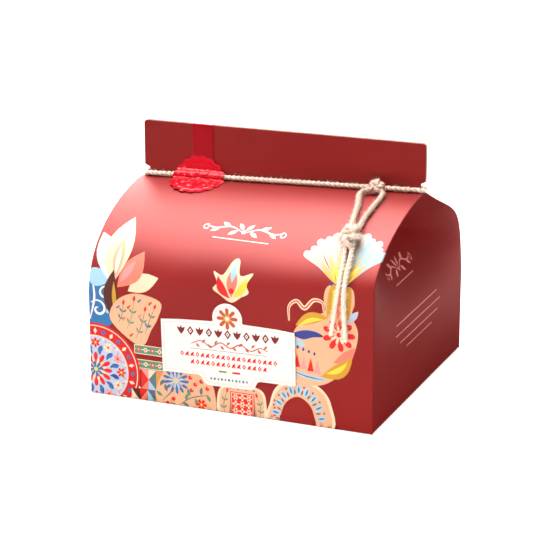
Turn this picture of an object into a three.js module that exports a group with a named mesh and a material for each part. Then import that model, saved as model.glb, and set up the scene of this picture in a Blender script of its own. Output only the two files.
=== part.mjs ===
// A tied gift carton for a low panettone: a folded board carton with a rounded roof and an upright closing fin,
// a cord round its neck, a label, a seal, and the wrapped loaf inside.
// Millimetres, +Z up. The front faces -Y. The origin is the middle of the base.
import * as THREE from 'three';

// ---------------------------------------------------------------- driving dimensions

const carton = {
  width: 230, // along X
  depth: 206, // along Y
  board: 0.7, // coated folding board
  gap: 0.3, // clearance between neighbouring pieces
};

// The ridge where the roof panels meet runs a little askew, as a hand-folded top does.
const ridge = {
  left: new THREE.Vector3(-114, -5.5, 149.5),
  right: new THREE.Vector3(115.5, 6.5, 155.8),
};

// Each roof edge rises straight to bendHeight and then follows one cubic to the ridge. rise and reach are the
// lengths of its two handles, lean is how far the first tips inwards and slope how steeply it meets the ridge.
const roofEdges = {
  frontLeft: { bendHeight: 78, rise: 50, lean: 0, reach: 36, slope: 0.08 },
  frontRight: { bendHeight: 108, rise: 22, lean: 0, reach: 47, slope: 0 },
  backLeft: { bendHeight: 66, rise: 60, lean: 0.12, reach: 78, slope: 0.45 },
  backRight: { bendHeight: 66, rise: 64, lean: 0.12, reach: 80, slope: 0.49 },
};
const edgeSteps = { wall: 3, roof: 14 };

// The end walls lean in towards an arched crease; the flaps above it fold back out to the roof edges.
const gusset = {
  shoulder: { frontLeft: 84, frontRight: 106, back: 88 }, // height of the crease at the corners
  creaseTop: 127, // height of the crease at mid-depth
  recess: 12, // how far the crease lies inside the wall's plane
  leanFrom: 40, // the wall is upright below this height
  columns: 12,
  rows: 10,
};

const fin = {
  left: -112.6, // ends of the fin, measured along the ridge from its middle
  right: 115.2,
  top: 193.8, // height above the base
  neckHeight: 6.5, // from the ridge up to the full-width part
  neckInset: 4.2, // each end of the neck lies this far inside the fin's end
  chamfer: 2,
  corner: 1.5,
  tuckPly: 1.4, // the end wall's double ply between the fin's two plies
  tuckLength: 96, // along the fin's top, and
  tuckFoot: 62, // along the ridge
};

const cord = { diameter: 4.2, sides: 8, lift: 2.4 }; // lift: centre of a lying cord above the board
const knots = {
  upper: { centre: new THREE.Vector3(81.5, -6.6, 160), size: new THREE.Vector3(12, 9, 11), tilt: 0.3 },
  lower: { centre: new THREE.Vector3(86.2, -76, 142.3), size: new THREE.Vector3(15, 19, 12), tilt: 0.46 },
};

// Routes of the cord outside the neck turn, from knot to knot and from the lower knot to the free ends.
const routes = {
  strandLeft: [
    [74.4, -8.6, 157.6], [71.9, -14, 156.6], [72.2, -20.5, 155.5], [74.4, -27, 154.2],
    [76.3, -34, 152.5], [78, -42, 150.4], [79.6, -50, 147.9], [81.2, -58, 146],
  ],
  strandRight: [
    [88, -12.4, 157], [89, -19, 155.9], [88.9, -26, 154.6], [88.6, -33, 153.1],
    [88.2, -41, 151.1], [87.6, -49, 148.7], [87, -57, 146.6],
  ],
  tailLeft: [
    [86.9, -88.3, 131.6], [87.8, -92.6, 127.6], [88.4, -97.1, 122.9], [88.3, -101.4, 117.4],
    [88, -104.7, 110.8], [87, -105.8, 103], [85.8, -105.8, 95], [84.6, -105.8, 87], [83.5, -105.8, 80], [82.8, -105.8, 73.6],
  ],
  tailRight: [
    [92.2, -87.9, 132.4], [92.8, -92.8, 128.2], [93.2, -97.4, 123.2], [93.6, -101.7, 117.7],
    [93.8, -104.9, 110.9], [93.8, -105.8, 103], [93.8, -105.8, 95], [94, -105.8, 87], [94.2, -105.8, 79], [93.9, -105.8, 70.2],
  ],
};

const label = { width: 108, bottom: 28.5, top: 71, thickness: 0.3, tilt: 0.026, centreX: 0.6, medallion: 12, tab: 22 };
const seal = { centreX: -65.5, radius: 21, scallops: 12, scallop: 1.1, thickness: 0.5, top: 170, rings: 6, sectors: 48 };
const tape = { left: -71.6, right: -55.2, end: 170.8, thickness: 0.3 };

const base = { dustHeight: 1, dustFlap: 82, dustTaper: 14 };
const loaf = { radius: 96, wall: 58, crown: 100, foot: 3.7 };
const mould = { wall: 0.8, height: 62, floor: 2.8 };
const bag = { film: 0.3, gap: 0.6, neckRadius: 7, neckHeight: 112, mouthRadius: 17, top: 132 };
const roundSegments = 48;

// ---------------------------------------------------------------- colours and finishes

const redBoard = new THREE.MeshStandardMaterial({ color: 0xa52a2c, roughness: 0.38, metalness: 0.15 });
const wovenPaper = new THREE.MeshStandardMaterial({ color: 0xede3e0, roughness: 0.8 });
const redFoil = new THREE.MeshStandardMaterial({ color: 0xd2102a, roughness: 0.18 });
const ivoryCotton = new THREE.MeshStandardMaterial({ color: 0xe9ddd0, roughness: 0.9 });
const bakedCrust = new THREE.MeshStandardMaterial({ color: 0x8a4a1e, roughness: 0.85 });
const brownPaper = new THREE.MeshStandardMaterial({ color: 0x6b4428, roughness: 0.8 });
const clearFilm = new THREE.MeshStandardMaterial({ color: 0xf2f4f5, roughness: 0.1, transparent: true, opacity: 0.3 });
const goldWire = new THREE.MeshStandardMaterial({ color: 0xc9a24a, roughness: 0.35, metalness: 0.9 });

// ---------------------------------------------------------------- building helpers

const model = new THREE.Group();

function place(name, geometry, material, parent = model) {
  const mesh = new THREE.Mesh(geometry, material);
  mesh.name = name;
  parent.add(mesh);
  return mesh;
}

const mix = (a, b, t) => a + (b - a) * t;

function signedVolume(positions, faces) {
  const [a, b, c] = [new THREE.Vector3(), new THREE.Vector3(), new THREE.Vector3()];
  let volume = 0;
  for (let i = 0; i < faces.length; i += 3) {
    a.fromArray(positions, 3 * faces[i]);
    b.fromArray(positions, 3 * faces[i + 1]);
    c.fromArray(positions, 3 * faces[i + 2]);
    volume += a.dot(b.cross(c));
  }
  return volume;
}

function solid(positions, faces) {
  const outward = signedVolume(positions, faces) > 0;
  const index = outward ? faces : faces.map((_, i) => faces[i - (i % 3) + [0, 2, 1][i % 3]]);
  const geometry = new THREE.BufferGeometry();
  geometry.setAttribute('position', new THREE.Float32BufferAttribute(positions, 3));
  geometry.setIndex(index);
  return geometry;
}

function gridNormals(grid) {
  const last = [grid.length - 1, grid[0].length - 1];
  const at = (i, j) => grid[THREE.MathUtils.clamp(i, 0, last[0])][THREE.MathUtils.clamp(j, 0, last[1])];
  return grid.map((row, i) => row.map((_, j) => {
    const along = at(i + 1, j).clone().sub(at(i - 1, j));
    const across = at(i, j + 1).clone().sub(at(i, j - 1));
    return along.cross(across).normalize();
  }));
}

// A sheet of even thickness whose outer face is a grid of points. inside is a point that its back faces.
function sheet(grid, thickness, inside) {
  const normals = gridNormals(grid);
  const rows = grid.length;
  const columns = grid[0].length;
  const centre = grid[rows >> 1][columns >> 1];
  const side = normals[rows >> 1][columns >> 1].dot(inside.clone().sub(centre)) > 0 ? 1 : -1;
  const back = grid.map((row, i) => row.map((p, j) => p.clone().addScaledVector(normals[i][j], side * thickness)));
  const positions = [...grid.flat(), ...back.flat()].flatMap((p) => p.toArray());
  const faces = [];
  const quad = (a, b, c, d) => faces.push(a, b, c, a, c, d);
  const front = (i, j) => i * columns + j;
  const rear = (i, j) => rows * columns + i * columns + j;
  for (let i = 0; i < rows - 1; i++) {
    for (let j = 0; j < columns - 1; j++) {
      quad(front(i, j), front(i, j + 1), front(i + 1, j + 1), front(i + 1, j));
      quad(rear(i, j), rear(i + 1, j), rear(i + 1, j + 1), rear(i, j + 1));
    }
    quad(front(i, 0), front(i + 1, 0), rear(i + 1, 0), rear(i, 0));
    quad(front(i + 1, columns - 1), front(i, columns - 1), rear(i, columns - 1), rear(i + 1, columns - 1));
  }
  for (let j = 0; j < columns - 1; j++) {
    quad(front(0, j + 1), front(0, j), rear(0, j), rear(0, j + 1));
    quad(front(rows - 1, j), front(rows - 1, j + 1), rear(rows - 1, j + 1), rear(rows - 1, j));
  }
  return solid(positions, faces);
}

// A flat plate: an outline in X and Z, from y to y + thickness.
function plate(shape, y, thickness) {
  const geometry = new THREE.ExtrudeGeometry(shape, { depth: thickness, bevelEnabled: false, curveSegments: 8 });
  geometry.rotateX(Math.PI / 2);
  geometry.translate(0, y + thickness, 0);
  return geometry;
}

function polygon(points) {
  const shape = new THREE.Shape();
  points.forEach(([x, y], i) => (i ? shape.lineTo(x, y) : shape.moveTo(x, y)));
  shape.closePath();
  return shape;
}

// A smooth route that gives every stretch between two of its points the same number of steps.
class CordRoute extends THREE.CatmullRomCurve3 {
  getUtoTmapping(u) {
    return u;
  }
}

function roundTube(points, diameter, stepsEach) {
  const section = new THREE.Shape();
  for (let i = 0; i < cord.sides; i++) {
    const angle = (2 * Math.PI * i) / cord.sides;
    const [x, y] = [(Math.cos(angle) * diameter) / 2, (Math.sin(angle) * diameter) / 2];
    if (i) section.lineTo(x, y);
    else section.moveTo(x, y);
  }
  section.closePath();
  const path = new CordRoute(points.map((p) => new THREE.Vector3(...p)), false, 'centripetal');
  const steps = stepsEach * (points.length - 1);
  return new THREE.ExtrudeGeometry(section, { extrudePath: path, steps, bevelEnabled: false });
}

// ---------------------------------------------------------------- the board's folded shape

const halfWidth = carton.width / 2;
const halfDepth = carton.depth / 2;
const middle = new THREE.Vector3(0, 0, 60);
const finPlies = fin.tuckPly / 2 + carton.gap + carton.board; // half the fin's thickness

// Points of a roof edge from the base to the ridge. side is -1 at the front and 1 at the back.
function edgePoints(form, side, end) {
  const x = Math.sign(end.x) * halfWidth;
  const foot = new THREE.Vector3(x, side * halfDepth, 0);
  const bend = new THREE.Vector3(x, side * halfDepth, form.bendHeight);
  const stop = end.clone().add(new THREE.Vector3(0, side * finPlies, 0));
  const roof = new THREE.CubicBezierCurve3(
    bend,
    bend.clone().add(new THREE.Vector3(0, -side * form.lean * form.rise, form.rise)),
    stop.clone().add(new THREE.Vector3(0, side * form.reach, -form.slope * form.reach)),
    stop,
  );
  const wall = new THREE.LineCurve3(foot, bend).getPoints(edgeSteps.wall).slice(0, -1);
  return [...wall, ...roof.getPoints(edgeSteps.roof)];
}

const edges = {
  frontLeft: edgePoints(roofEdges.frontLeft, -1, ridge.left),
  frontRight: edgePoints(roofEdges.frontRight, -1, ridge.right),
  backLeft: edgePoints(roofEdges.backLeft, 1, ridge.left),
  backRight: edgePoints(roofEdges.backRight, 1, ridge.right),
};

function foldedPanel(left, right) {
  const columns = 4;
  return left.map((p, i) => {
    const row = [];
    for (let j = 0; j <= columns; j++) row.push(p.clone().lerp(right[i], j / columns));
    return row;
  });
}

place('front_panel', sheet(foldedPanel(edges.frontLeft, edges.frontRight), carton.board, middle), redBoard);
place('back_panel', sheet(foldedPanel(edges.backLeft, edges.backRight), carton.board, middle), redBoard);

// ---------------------------------------------------------------- end walls and their fold-in flaps

// An edge moved inwards in its own plane, so that the end pieces stay clear of the panel's back.
function insetEdge(points, inset) {
  return points.map((p, i) => {
    const along = points[Math.min(i + 1, points.length - 1)].clone().sub(points[Math.max(i - 1, 0)]);
    const inward = new THREE.Vector3(0, -along.z, along.y).normalize();
    if (inward.dot(middle.clone().sub(p)) < 0) inward.negate();
    return p.clone().addScaledVector(inward, inset);
  });
}

// The first point of an edge where the named coordinate reaches a value.
function whereOn(points, coordinate, value) {
  for (let i = 1; i < points.length; i++) {
    const [a, b] = [points[i - 1], points[i]];
    const t = (value - a[coordinate]) / (b[coordinate] - a[coordinate]);
    if (t >= 0 && t <= 1) return a.clone().lerp(b, t);
  }
  return points[points.length - 1].clone();
}

const clearOfPanel = carton.board + carton.gap + 0.1;

// Height of the front panel's outer face over a point of the roof.
function roofHeight(x, y) {
  const at = (edge) => whereOn(edge, 'y', y).z;
  return mix(at(edges.frontLeft), at(edges.frontRight), x / carton.width + 0.5);
}

function endPieces(side, name) {
  const front = insetEdge(edges[`front${name}`], clearOfPanel);
  const back = insetEdge(edges[`back${name}`], clearOfPanel);
  const low = gusset.shoulder[`front${name}`];
  const high = gusset.shoulder.back;
  const crown = gusset.creaseTop - (low + high) / 2;
  const bulge = (u) => 1 - (2 * u - 1) ** 2;
  const creaseHeight = (u) => mix(low, high, u) + crown * bulge(u);
  const creaseDepth = (u) => gusset.recess * bulge(u) ** 1.6;
  const acrossAt = (u, z) => {
    const y = (points, shoulder) => whereOn(points, 'z', Math.min(z, shoulder)).y;
    return mix(y(front, low), y(back, high), u);
  };
  const creasePoint = (u) => new THREE.Vector3(
    side * (halfWidth - creaseDepth(u)),
    acrossAt(u, creaseHeight(u)),
    creaseHeight(u),
  );

  const wall = [];
  for (let i = 0; i <= gusset.rows; i++) {
    const row = [];
    for (let j = 0; j <= gusset.columns; j++) {
      const u = j / gusset.columns;
      const z = (creaseHeight(u) * i) / gusset.rows;
      const lean = Math.max(0, (z - gusset.leanFrom) / (creaseHeight(u) - gusset.leanFrom)) ** 2;
      row.push(new THREE.Vector3(side * (halfWidth - creaseDepth(u) * lean), acrossAt(u, z), z));
    }
    wall.push(row);
  }
  place(`end_wall_${name.toLowerCase()}`, sheet(wall, carton.board, middle), redBoard);

  const ridgeY = ridge[name.toLowerCase()].y;
  const nearNeck = finPlies + clearOfPanel;
  const underRoof = (edge) => insetEdge(edge, clearOfPanel + carton.board);
  for (const [edge, roofEdge, from, to, neck] of [
    ['front', underRoof(edges[`front${name}`]), 0.06, 0.485, ridgeY - nearNeck],
    ['back', underRoof(edges[`back${name}`]), 0.94, 0.515, ridgeY + nearNeck],
  ]) {
    const shoulderY = creasePoint(from).y;
    const flap = [];
    const columns = 9;
    for (let j = 0; j <= columns; j++) {
      const t = j / columns;
      const bottom = creasePoint(mix(from, to, t));
      bottom.z += carton.gap + 0.1;
      const top = whereOn(roofEdge, 'y', mix(shoulderY, neck, t));
      top.x = side * (halfWidth - 0.4);
      flap.push([0, 0.5, 1].map((v) => {
        const p = bottom.clone().lerp(top, v);
        p.x -= side * 1.5 * Math.sin(Math.PI * v) * Math.sin(Math.PI * t);
        return p;
      }));
    }
    place(`end_flap_${name.toLowerCase()}_${edge}`, sheet(flap, carton.board, middle), redBoard);
  }
}

endPieces(-1, 'Left');
endPieces(1, 'Right');

// ---------------------------------------------------------------- closing fin

// The fin's own frame lies along the ridge, so its plies turn with it.
const finFrame = new THREE.Group();
finFrame.position.copy(ridge.left.clone().lerp(ridge.right, 0.5).setZ(0));
finFrame.rotation.z = Math.atan2(ridge.right.y - ridge.left.y, ridge.right.x - ridge.left.x);
model.add(finFrame);

const ridgeLength = Math.hypot(ridge.right.x - ridge.left.x, ridge.right.y - ridge.left.y);
const ridgeHeightAt = (x) => mix(ridge.left.z, ridge.right.z, x / ridgeLength + 0.5);
const neck = { left: fin.left + fin.neckInset, right: fin.right - fin.neckInset };

function finOutline() {
  const foot = (x) => ridgeHeightAt(x) + carton.gap + 0.1;
  const step = (x) => ridgeHeightAt(x) + fin.neckHeight;
  return polygon([
    [neck.left, foot(neck.left)],
    [neck.left, step(neck.left)],
    [fin.left, step(fin.left) + fin.chamfer],
    [fin.left, fin.top - fin.corner],
    [fin.left + fin.corner, fin.top],
    [fin.right - fin.corner, fin.top],
    [fin.right, fin.top - fin.corner],
    [fin.right, step(fin.right) + fin.chamfer],
    [neck.right, step(neck.right)],
    [neck.right, foot(neck.right)],
  ]);
}

place('fin_front', plate(finOutline(), -finPlies, carton.board), redBoard, finFrame);
place('fin_back', plate(finOutline(), finPlies - carton.board, carton.board), redBoard, finFrame);

function tuckOutline(end, direction) {
  const inner = end + direction * fin.tuckLength;
  const foot = (x) => ridgeHeightAt(x) + carton.gap + 0.1;
  return polygon([
    [end, foot(end)],
    [end, fin.top - 1],
    [inner, fin.top - 1],
    [end + direction * fin.tuckFoot, foot(end + direction * fin.tuckFoot)],
  ]);
}

place('fin_tuck_left', plate(tuckOutline(neck.left + 0.5, 1), -fin.tuckPly / 2, fin.tuckPly), redBoard, finFrame);
place('fin_tuck_right', plate(tuckOutline(neck.right - 0.5, -1), -fin.tuckPly / 2, fin.tuckPly), redBoard, finFrame);

// ---------------------------------------------------------------- base and glue flap

function flatBox(name, low, high, material) {
  const size = high.map((h, i) => h - low[i]);
  const geometry = new THREE.BoxGeometry(...size);
  geometry.translate(...low.map((l, i) => l + size[i] / 2));
  place(name, geometry, material);
}

const insideX = halfWidth - clearOfPanel;
const insideY = halfDepth - clearOfPanel;
flatBox('base_flap_front', [-insideX, -insideY, 0], [insideX, -carton.gap, carton.board], redBoard);
flatBox('base_flap_back', [-insideX, carton.gap, 0], [insideX, insideY, carton.board], redBoard);

for (const [side, name] of [[-1, 'left'], [1, 'right']]) {
  const outer = side * insideX;
  const inner = side * (insideX - base.dustFlap);
  const outline = polygon([
    [outer, -insideY], [inner, -insideY + base.dustTaper], [inner, insideY - base.dustTaper], [outer, insideY],
  ]);
  const flap = new THREE.ExtrudeGeometry(outline, { depth: carton.board, bevelEnabled: false });
  flap.translate(0, 0, base.dustHeight);
  place(`base_flap_${name}`, flap, redBoard);
}

const seam = { width: 15, low: 4, high: 60 };
flatBox(
  'glue_flap',
  [-insideX, insideY - seam.width, seam.low],
  [-insideX + carton.board, insideY, seam.high],
  redBoard,
);

// ---------------------------------------------------------------- label, tape and seal

function labelOutline() {
  const half = label.width / 2;
  const height = label.top - label.bottom;
  const middleZ = height / 2;
  const tabDrop = 7.5;
  const shape = new THREE.Shape();
  shape.moveTo(-half, -middleZ);
  shape.lineTo(-label.tab - 3, -middleZ);
  shape.quadraticCurveTo(-label.tab, -middleZ, -label.tab + 2, -middleZ - tabDrop + 2);
  shape.quadraticCurveTo(-label.tab + 3, -middleZ - tabDrop, -label.tab + 7, -middleZ - tabDrop);
  shape.lineTo(label.tab - 7, -middleZ - tabDrop);
  shape.quadraticCurveTo(label.tab - 3, -middleZ - tabDrop, label.tab - 2, -middleZ - tabDrop + 2);
  shape.quadraticCurveTo(label.tab, -middleZ, label.tab + 3, -middleZ);
  shape.lineTo(half, -middleZ);
  shape.lineTo(half, middleZ - 1);
  shape.quadraticCurveTo(half / 2, middleZ + 0.8, label.medallion, middleZ + 1);
  shape.absarc(0, middleZ + 4, label.medallion, -0.25, Math.PI + 0.25, false);
  shape.quadraticCurveTo(-half / 2, middleZ + 0.8, -half, middleZ - 1);
  shape.closePath();
  return shape;
}

const labelGeometry = new THREE.ExtrudeGeometry(labelOutline(), {
  depth: label.thickness, bevelEnabled: false, curveSegments: 16,
});
labelGeometry.rotateZ(label.tilt);
labelGeometry.rotateX(Math.PI / 2);
labelGeometry.translate(label.centreX, -halfDepth - carton.gap, (label.top + label.bottom) / 2);
place('label', labelGeometry, wovenPaper);

// The tape straddles the fin's top edge.
function tapeGeometry() {
  const inner = finPlies + carton.gap;
  const outer = inner + tape.thickness;
  const section = polygon([
    [-outer, tape.end], [-outer, fin.top + carton.gap + tape.thickness], [outer, fin.top + carton.gap + tape.thickness],
    [outer, tape.end], [inner, tape.end], [inner, fin.top + carton.gap], [-inner, fin.top + carton.gap],
    [-inner, tape.end],
  ]);
  const geometry = new THREE.ExtrudeGeometry(section, { depth: tape.right - tape.left, bevelEnabled: false });
  geometry.rotateX(Math.PI / 2);
  geometry.rotateZ(Math.PI / 2);
  geometry.translate(tape.left, 0, 0);
  return geometry;
}

place('seal_tape', tapeGeometry(), redFoil, finFrame);

// The seal runs down the fin's face, over the cord and on along the roof. Its side view, in the fin's own frame,
// gives for each distance from the top the point that the sheet passes through.
function sealCourse() {
  const foot = ridgeHeightAt(seal.centreX);
  const face = -finPlies - carton.gap - seal.thickness;
  const front = face - cord.diameter - carton.gap; // just in front of the cord
  const onRoof = (y) => {
    const p = new THREE.Vector3(seal.centreX, y, 0).applyEuler(finFrame.rotation).add(finFrame.position);
    return new THREE.Vector3(0, y, roofHeight(p.x, p.y) + seal.thickness + 1.1);
  };
  return new THREE.CatmullRomCurve3([
    new THREE.Vector3(0, face, seal.top + 2),
    new THREE.Vector3(0, face, seal.top - 3),
    new THREE.Vector3(0, face, foot + 8.6),
    new THREE.Vector3(0, face - 1.6, foot + 6.6),
    new THREE.Vector3(0, front + 1, foot + 5),
    new THREE.Vector3(0, front - 0.6, foot + 2.8),
    onRoof(front - 2.6),
    onRoof(front - 8),
    onRoof(front - 14),
    onRoof(front - 20),
    onRoof(front - 26),
  ]);
}

function sealGeometry() {
  const course = sealCourse();
  const length = course.getLength();
  const at = (x, down) => {
    const p = course.getPointAt(THREE.MathUtils.clamp((down + 2) / length, 0, 1));
    p.x = seal.centreX + x;
    return p;
  };
  const rows = [];
  for (let i = 0; i <= seal.rings; i++) {
    const row = [];
    for (let j = 0; j < seal.sectors; j++) {
      const angle = (2 * Math.PI * j) / seal.sectors;
      const rim = seal.radius + seal.scallop * Math.cos(seal.scallops * angle);
      const r = rim * mix(0.04, 1, i / seal.rings);
      row.push(at(r * Math.cos(angle), seal.radius + seal.scallop - r * Math.sin(angle)));
    }
    rows.push(row);
  }
  return closedDisc(rows, at(0, seal.radius + seal.scallop), seal.thickness);
}

// A round sheet from rings of points about a centre, with its back seal.thickness behind it.
function closedDisc(rings, centre, thickness) {
  const count = rings[0].length;
  const normals = rings.map((row, i) => row.map((p, j) => {
    const outward = rings[Math.min(i + 1, rings.length - 1)][j].clone().sub(i ? rings[i - 1][j] : centre);
    const round = row[(j + 1) % count].clone().sub(row[(j + count - 1) % count]);
    return outward.cross(round).normalize();
  }));
  const positions = [];
  for (const depth of [0, thickness]) {
    rings.forEach((row, i) => row.forEach((p, j) => {
      positions.push(...p.clone().addScaledVector(normals[i][j], -depth).toArray());
    }));
    positions.push(...centre.clone().addScaledVector(normals[0][0], -depth).toArray());
  }
  const half = rings.length * count + 1;
  const faces = [];
  const quad = (a, b, c, d) => faces.push(a, b, c, a, c, d);
  for (let j = 0; j < count; j++) {
    const next = (j + 1) % count;
    faces.push(half - 1, j, next, 2 * half - 1, half + next, half + j);
    for (let i = 0; i < rings.length - 1; i++) {
      const [a, b] = [i * count + j, i * count + next];
      const [c, d] = [b + count, a + count];
      quad(a, d, c, b);
      quad(half + a, half + b, half + c, half + d);
    }
    const [a, b] = [(rings.length - 1) * count + j, (rings.length - 1) * count + next];
    quad(a, half + a, half + b, b);
  }
  return solid(positions, faces);
}

place('seal', sealGeometry(), redFoil, finFrame);

// ---------------------------------------------------------------- cord

// One turn round the neck, in the fin's own frame: along the front, round one end, back and round the other.
function neckTurn() {
  const off = finPlies + carton.gap + cord.diameter / 2;
  const height = (x) => ridgeHeightAt(x) + cord.lift;
  const start = 90.4;
  const stop = 71.6;
  const points = [];
  for (let x = start; x < neck.right; x += 7) points.push([x, -off, height(x)]);
  for (const angle of [-60, -20, 20, 60]) {
    const a = THREE.MathUtils.degToRad(angle);
    points.push([neck.right + off * 0.72 * Math.cos(a) + 0.4, off * Math.sin(a), height(neck.right)]);
  }
  for (let x = neck.right - 4; x > neck.left; x -= 14) points.push([x, off, height(x)]);
  for (const angle of [120, 160, 200, 240]) {
    const a = THREE.MathUtils.degToRad(angle);
    points.push([neck.left + off * 0.72 * Math.cos(a) - 0.4, off * Math.sin(a), height(neck.left)]);
  }
  for (let x = neck.left + 4; x < stop; x += 14) points.push([x, -off, height(x)]);
  points.push([stop, -off, height(stop)]);
  return points;
}

place('cord_neck', roundTube(neckTurn(), cord.diameter, 2), ivoryCotton, finFrame);
place('cord_strand_left', roundTube(routes.strandLeft, cord.diameter, 1), ivoryCotton);
place('cord_strand_right', roundTube(routes.strandRight, cord.diameter, 1), ivoryCotton);
place('cord_tail_left', roundTube(routes.tailLeft, cord.diameter, 1), ivoryCotton);
place('cord_tail_right', roundTube(routes.tailRight, cord.diameter, 1), ivoryCotton);

for (const [name, knot] of Object.entries(knots)) {
  const ball = new THREE.SphereGeometry(0.5, 14, 9);
  ball.scale(...knot.size.toArray());
  ball.rotateX(knot.tilt);
  ball.translate(...knot.centre.toArray());
  place(`cord_knot_${name}`, ball, ivoryCotton);
}

// ---------------------------------------------------------------- the wrapped loaf

function turned(profile, segments = roundSegments) {
  const points = profile.map(([r, z]) => new THREE.Vector2(r, z));
  const geometry = new THREE.LatheGeometry(points, segments);
  geometry.rotateX(Math.PI / 2);
  return geometry;
}

// The loaf's outline: a straight side in the mould, then a low dome that stands a little over the rim.
function loafProfile(grow) {
  const profile = [];
  const steps = 12;
  for (let i = 0; i <= steps; i++) {
    const a = (Math.PI / 2) * (i / steps);
    const r = (loaf.radius + grow) * Math.cos(a) ** 0.82;
    profile.push([i === steps ? 0 : r, loaf.wall + 7 + (loaf.crown + grow - loaf.wall - 7) * Math.sin(a)]);
  }
  return profile;
}

place('loaf', turned([
  [0, loaf.foot], [loaf.radius - 2, loaf.foot], [loaf.radius, loaf.foot + 2],
  ...loafProfile(0),
]), bakedCrust);

const mouldRadius = loaf.radius + mould.wall + 0.2;
place('baking_mould', turned([
  [0, mould.floor], [mouldRadius, mould.floor], [mouldRadius, mould.height], [mouldRadius - mould.wall, mould.height],
  [mouldRadius - mould.wall, mould.floor + 0.5], [0, mould.floor + 0.5], [0, mould.floor],
]), brownPaper);

// The bag stands off the mould and the crown and ends in an open, gathered neck.
function bagProfile() {
  const outer = mouldRadius + bag.gap + bag.film;
  const low = mould.floor - 0.4;
  const drawnIn = 30; // the film leaves the crown at this radius and rises to the neck
  const skin = (grow) => [
    [outer + grow - 0.4, low],
    [outer + grow, low + 1.5],
    ...loafProfile(outer - loaf.radius + grow).filter(([r]) => r > drawnIn),
    [bag.neckRadius + grow, bag.neckHeight],
    [bag.neckRadius + grow, bag.neckHeight + 5],
    [bag.mouthRadius + grow, bag.top],
  ];
  const outside = skin(0).slice(1);
  const inside = skin(-bag.film).reverse();
  return [[0, low - bag.film], [outer - 0.4, low - bag.film], ...outside, ...inside, [0, low], [0, low - bag.film]];
}

place('inner_bag', turned(bagProfile()), clearFilm);

const clip = new THREE.TorusGeometry(bag.neckRadius + 1.8, 1.2, 8, 24);
clip.translate(0, 0, bag.neckHeight + 2.5);
place('bag_tie', clip, goldWire);

export default model;
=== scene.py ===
"""A tied gift carton for a low panettone: printed pearl-red board, a twisted cotton cord round the
closing fin's neck, a linen-paper label, a foil seal, and the wrapped loaf inside. Shapes are worked
out in millimetres."""
import math

import bpy
import numpy as np
from bpy.props import FloatProperty, FloatVectorProperty, IntProperty, PointerProperty
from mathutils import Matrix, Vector, geometry


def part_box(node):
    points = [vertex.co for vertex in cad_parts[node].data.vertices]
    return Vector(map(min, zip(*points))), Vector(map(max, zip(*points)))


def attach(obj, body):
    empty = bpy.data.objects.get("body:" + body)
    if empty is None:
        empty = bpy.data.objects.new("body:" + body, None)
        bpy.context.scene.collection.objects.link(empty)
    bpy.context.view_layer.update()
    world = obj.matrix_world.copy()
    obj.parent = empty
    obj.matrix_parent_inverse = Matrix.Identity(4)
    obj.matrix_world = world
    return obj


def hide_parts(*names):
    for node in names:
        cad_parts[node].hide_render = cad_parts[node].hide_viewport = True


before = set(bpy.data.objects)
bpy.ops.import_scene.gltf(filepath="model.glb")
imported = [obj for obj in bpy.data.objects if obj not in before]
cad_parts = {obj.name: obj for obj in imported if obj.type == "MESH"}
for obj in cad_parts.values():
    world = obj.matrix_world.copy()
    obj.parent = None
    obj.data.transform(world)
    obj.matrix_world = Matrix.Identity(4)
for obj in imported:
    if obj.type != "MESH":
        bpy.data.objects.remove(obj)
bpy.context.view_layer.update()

bl_info = {
    "name": "Tied panettone carton",
    "version": (1, 0, 0),
    "blender": (4, 5, 0),
    "location": "View3D > Sidebar > Carton",
    "description": "Builds a tied gift carton over its packed frame",
    "category": "Object",
}

MM = 0.001


def boxed(node):
    """Lowest and highest corner of a frame node, in millimetres."""
    low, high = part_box(node)
    return np.array(low) / MM, np.array(high) / MM


HALF_WIDTH = boxed("end_wall_right")[1][0]
HALF_DEPTH = -boxed("front_panel")[0][1]
FIN_TOP = boxed("fin_front")[1][2]
BOARD = boxed("base_flap_front")[1][2] - boxed("base_flap_front")[0][2]
FOLD = 0.9  # outer radius of a creased fold
SEAM = 0.05  # hairline between two pieces that meet at a fold

# Ends of the ridge, where the two roof panels meet a little askew.
RIDGE = np.array([(-114.0, -5.5, 149.5), (115.5, 6.5, 155.8)])
# How each roof edge leaves the wall and reaches the ridge: height of the bend, then the cubic's handles.
ROOF_EDGES = {
    ("front", 0): {"bend": 78, "rise": 50, "lean": 0, "reach": 36, "slope": 0.08},
    ("front", 1): {"bend": 108, "rise": 22, "lean": 0, "reach": 47, "slope": 0},
    ("back", 0): {"bend": 66, "rise": 60, "lean": 0.12, "reach": 78, "slope": 0.45},
    ("back", 1): {"bend": 66, "rise": 64, "lean": 0.12, "reach": 80, "slope": 0.49},
}
FIN_HALF = 1.7  # from the fin's middle to the outer face of a ply


# ---------------------------------------------------------------- inks


def linear(code):
    """A hex colour as linear red, green and blue."""
    parts = [int(code[i:i + 2], 16) / 255 for i in (0, 2, 4)]
    return tuple(c / 12.92 if c <= 0.04045 else ((c + 0.055) / 1.055) ** 2.4 for c in parts)


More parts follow.
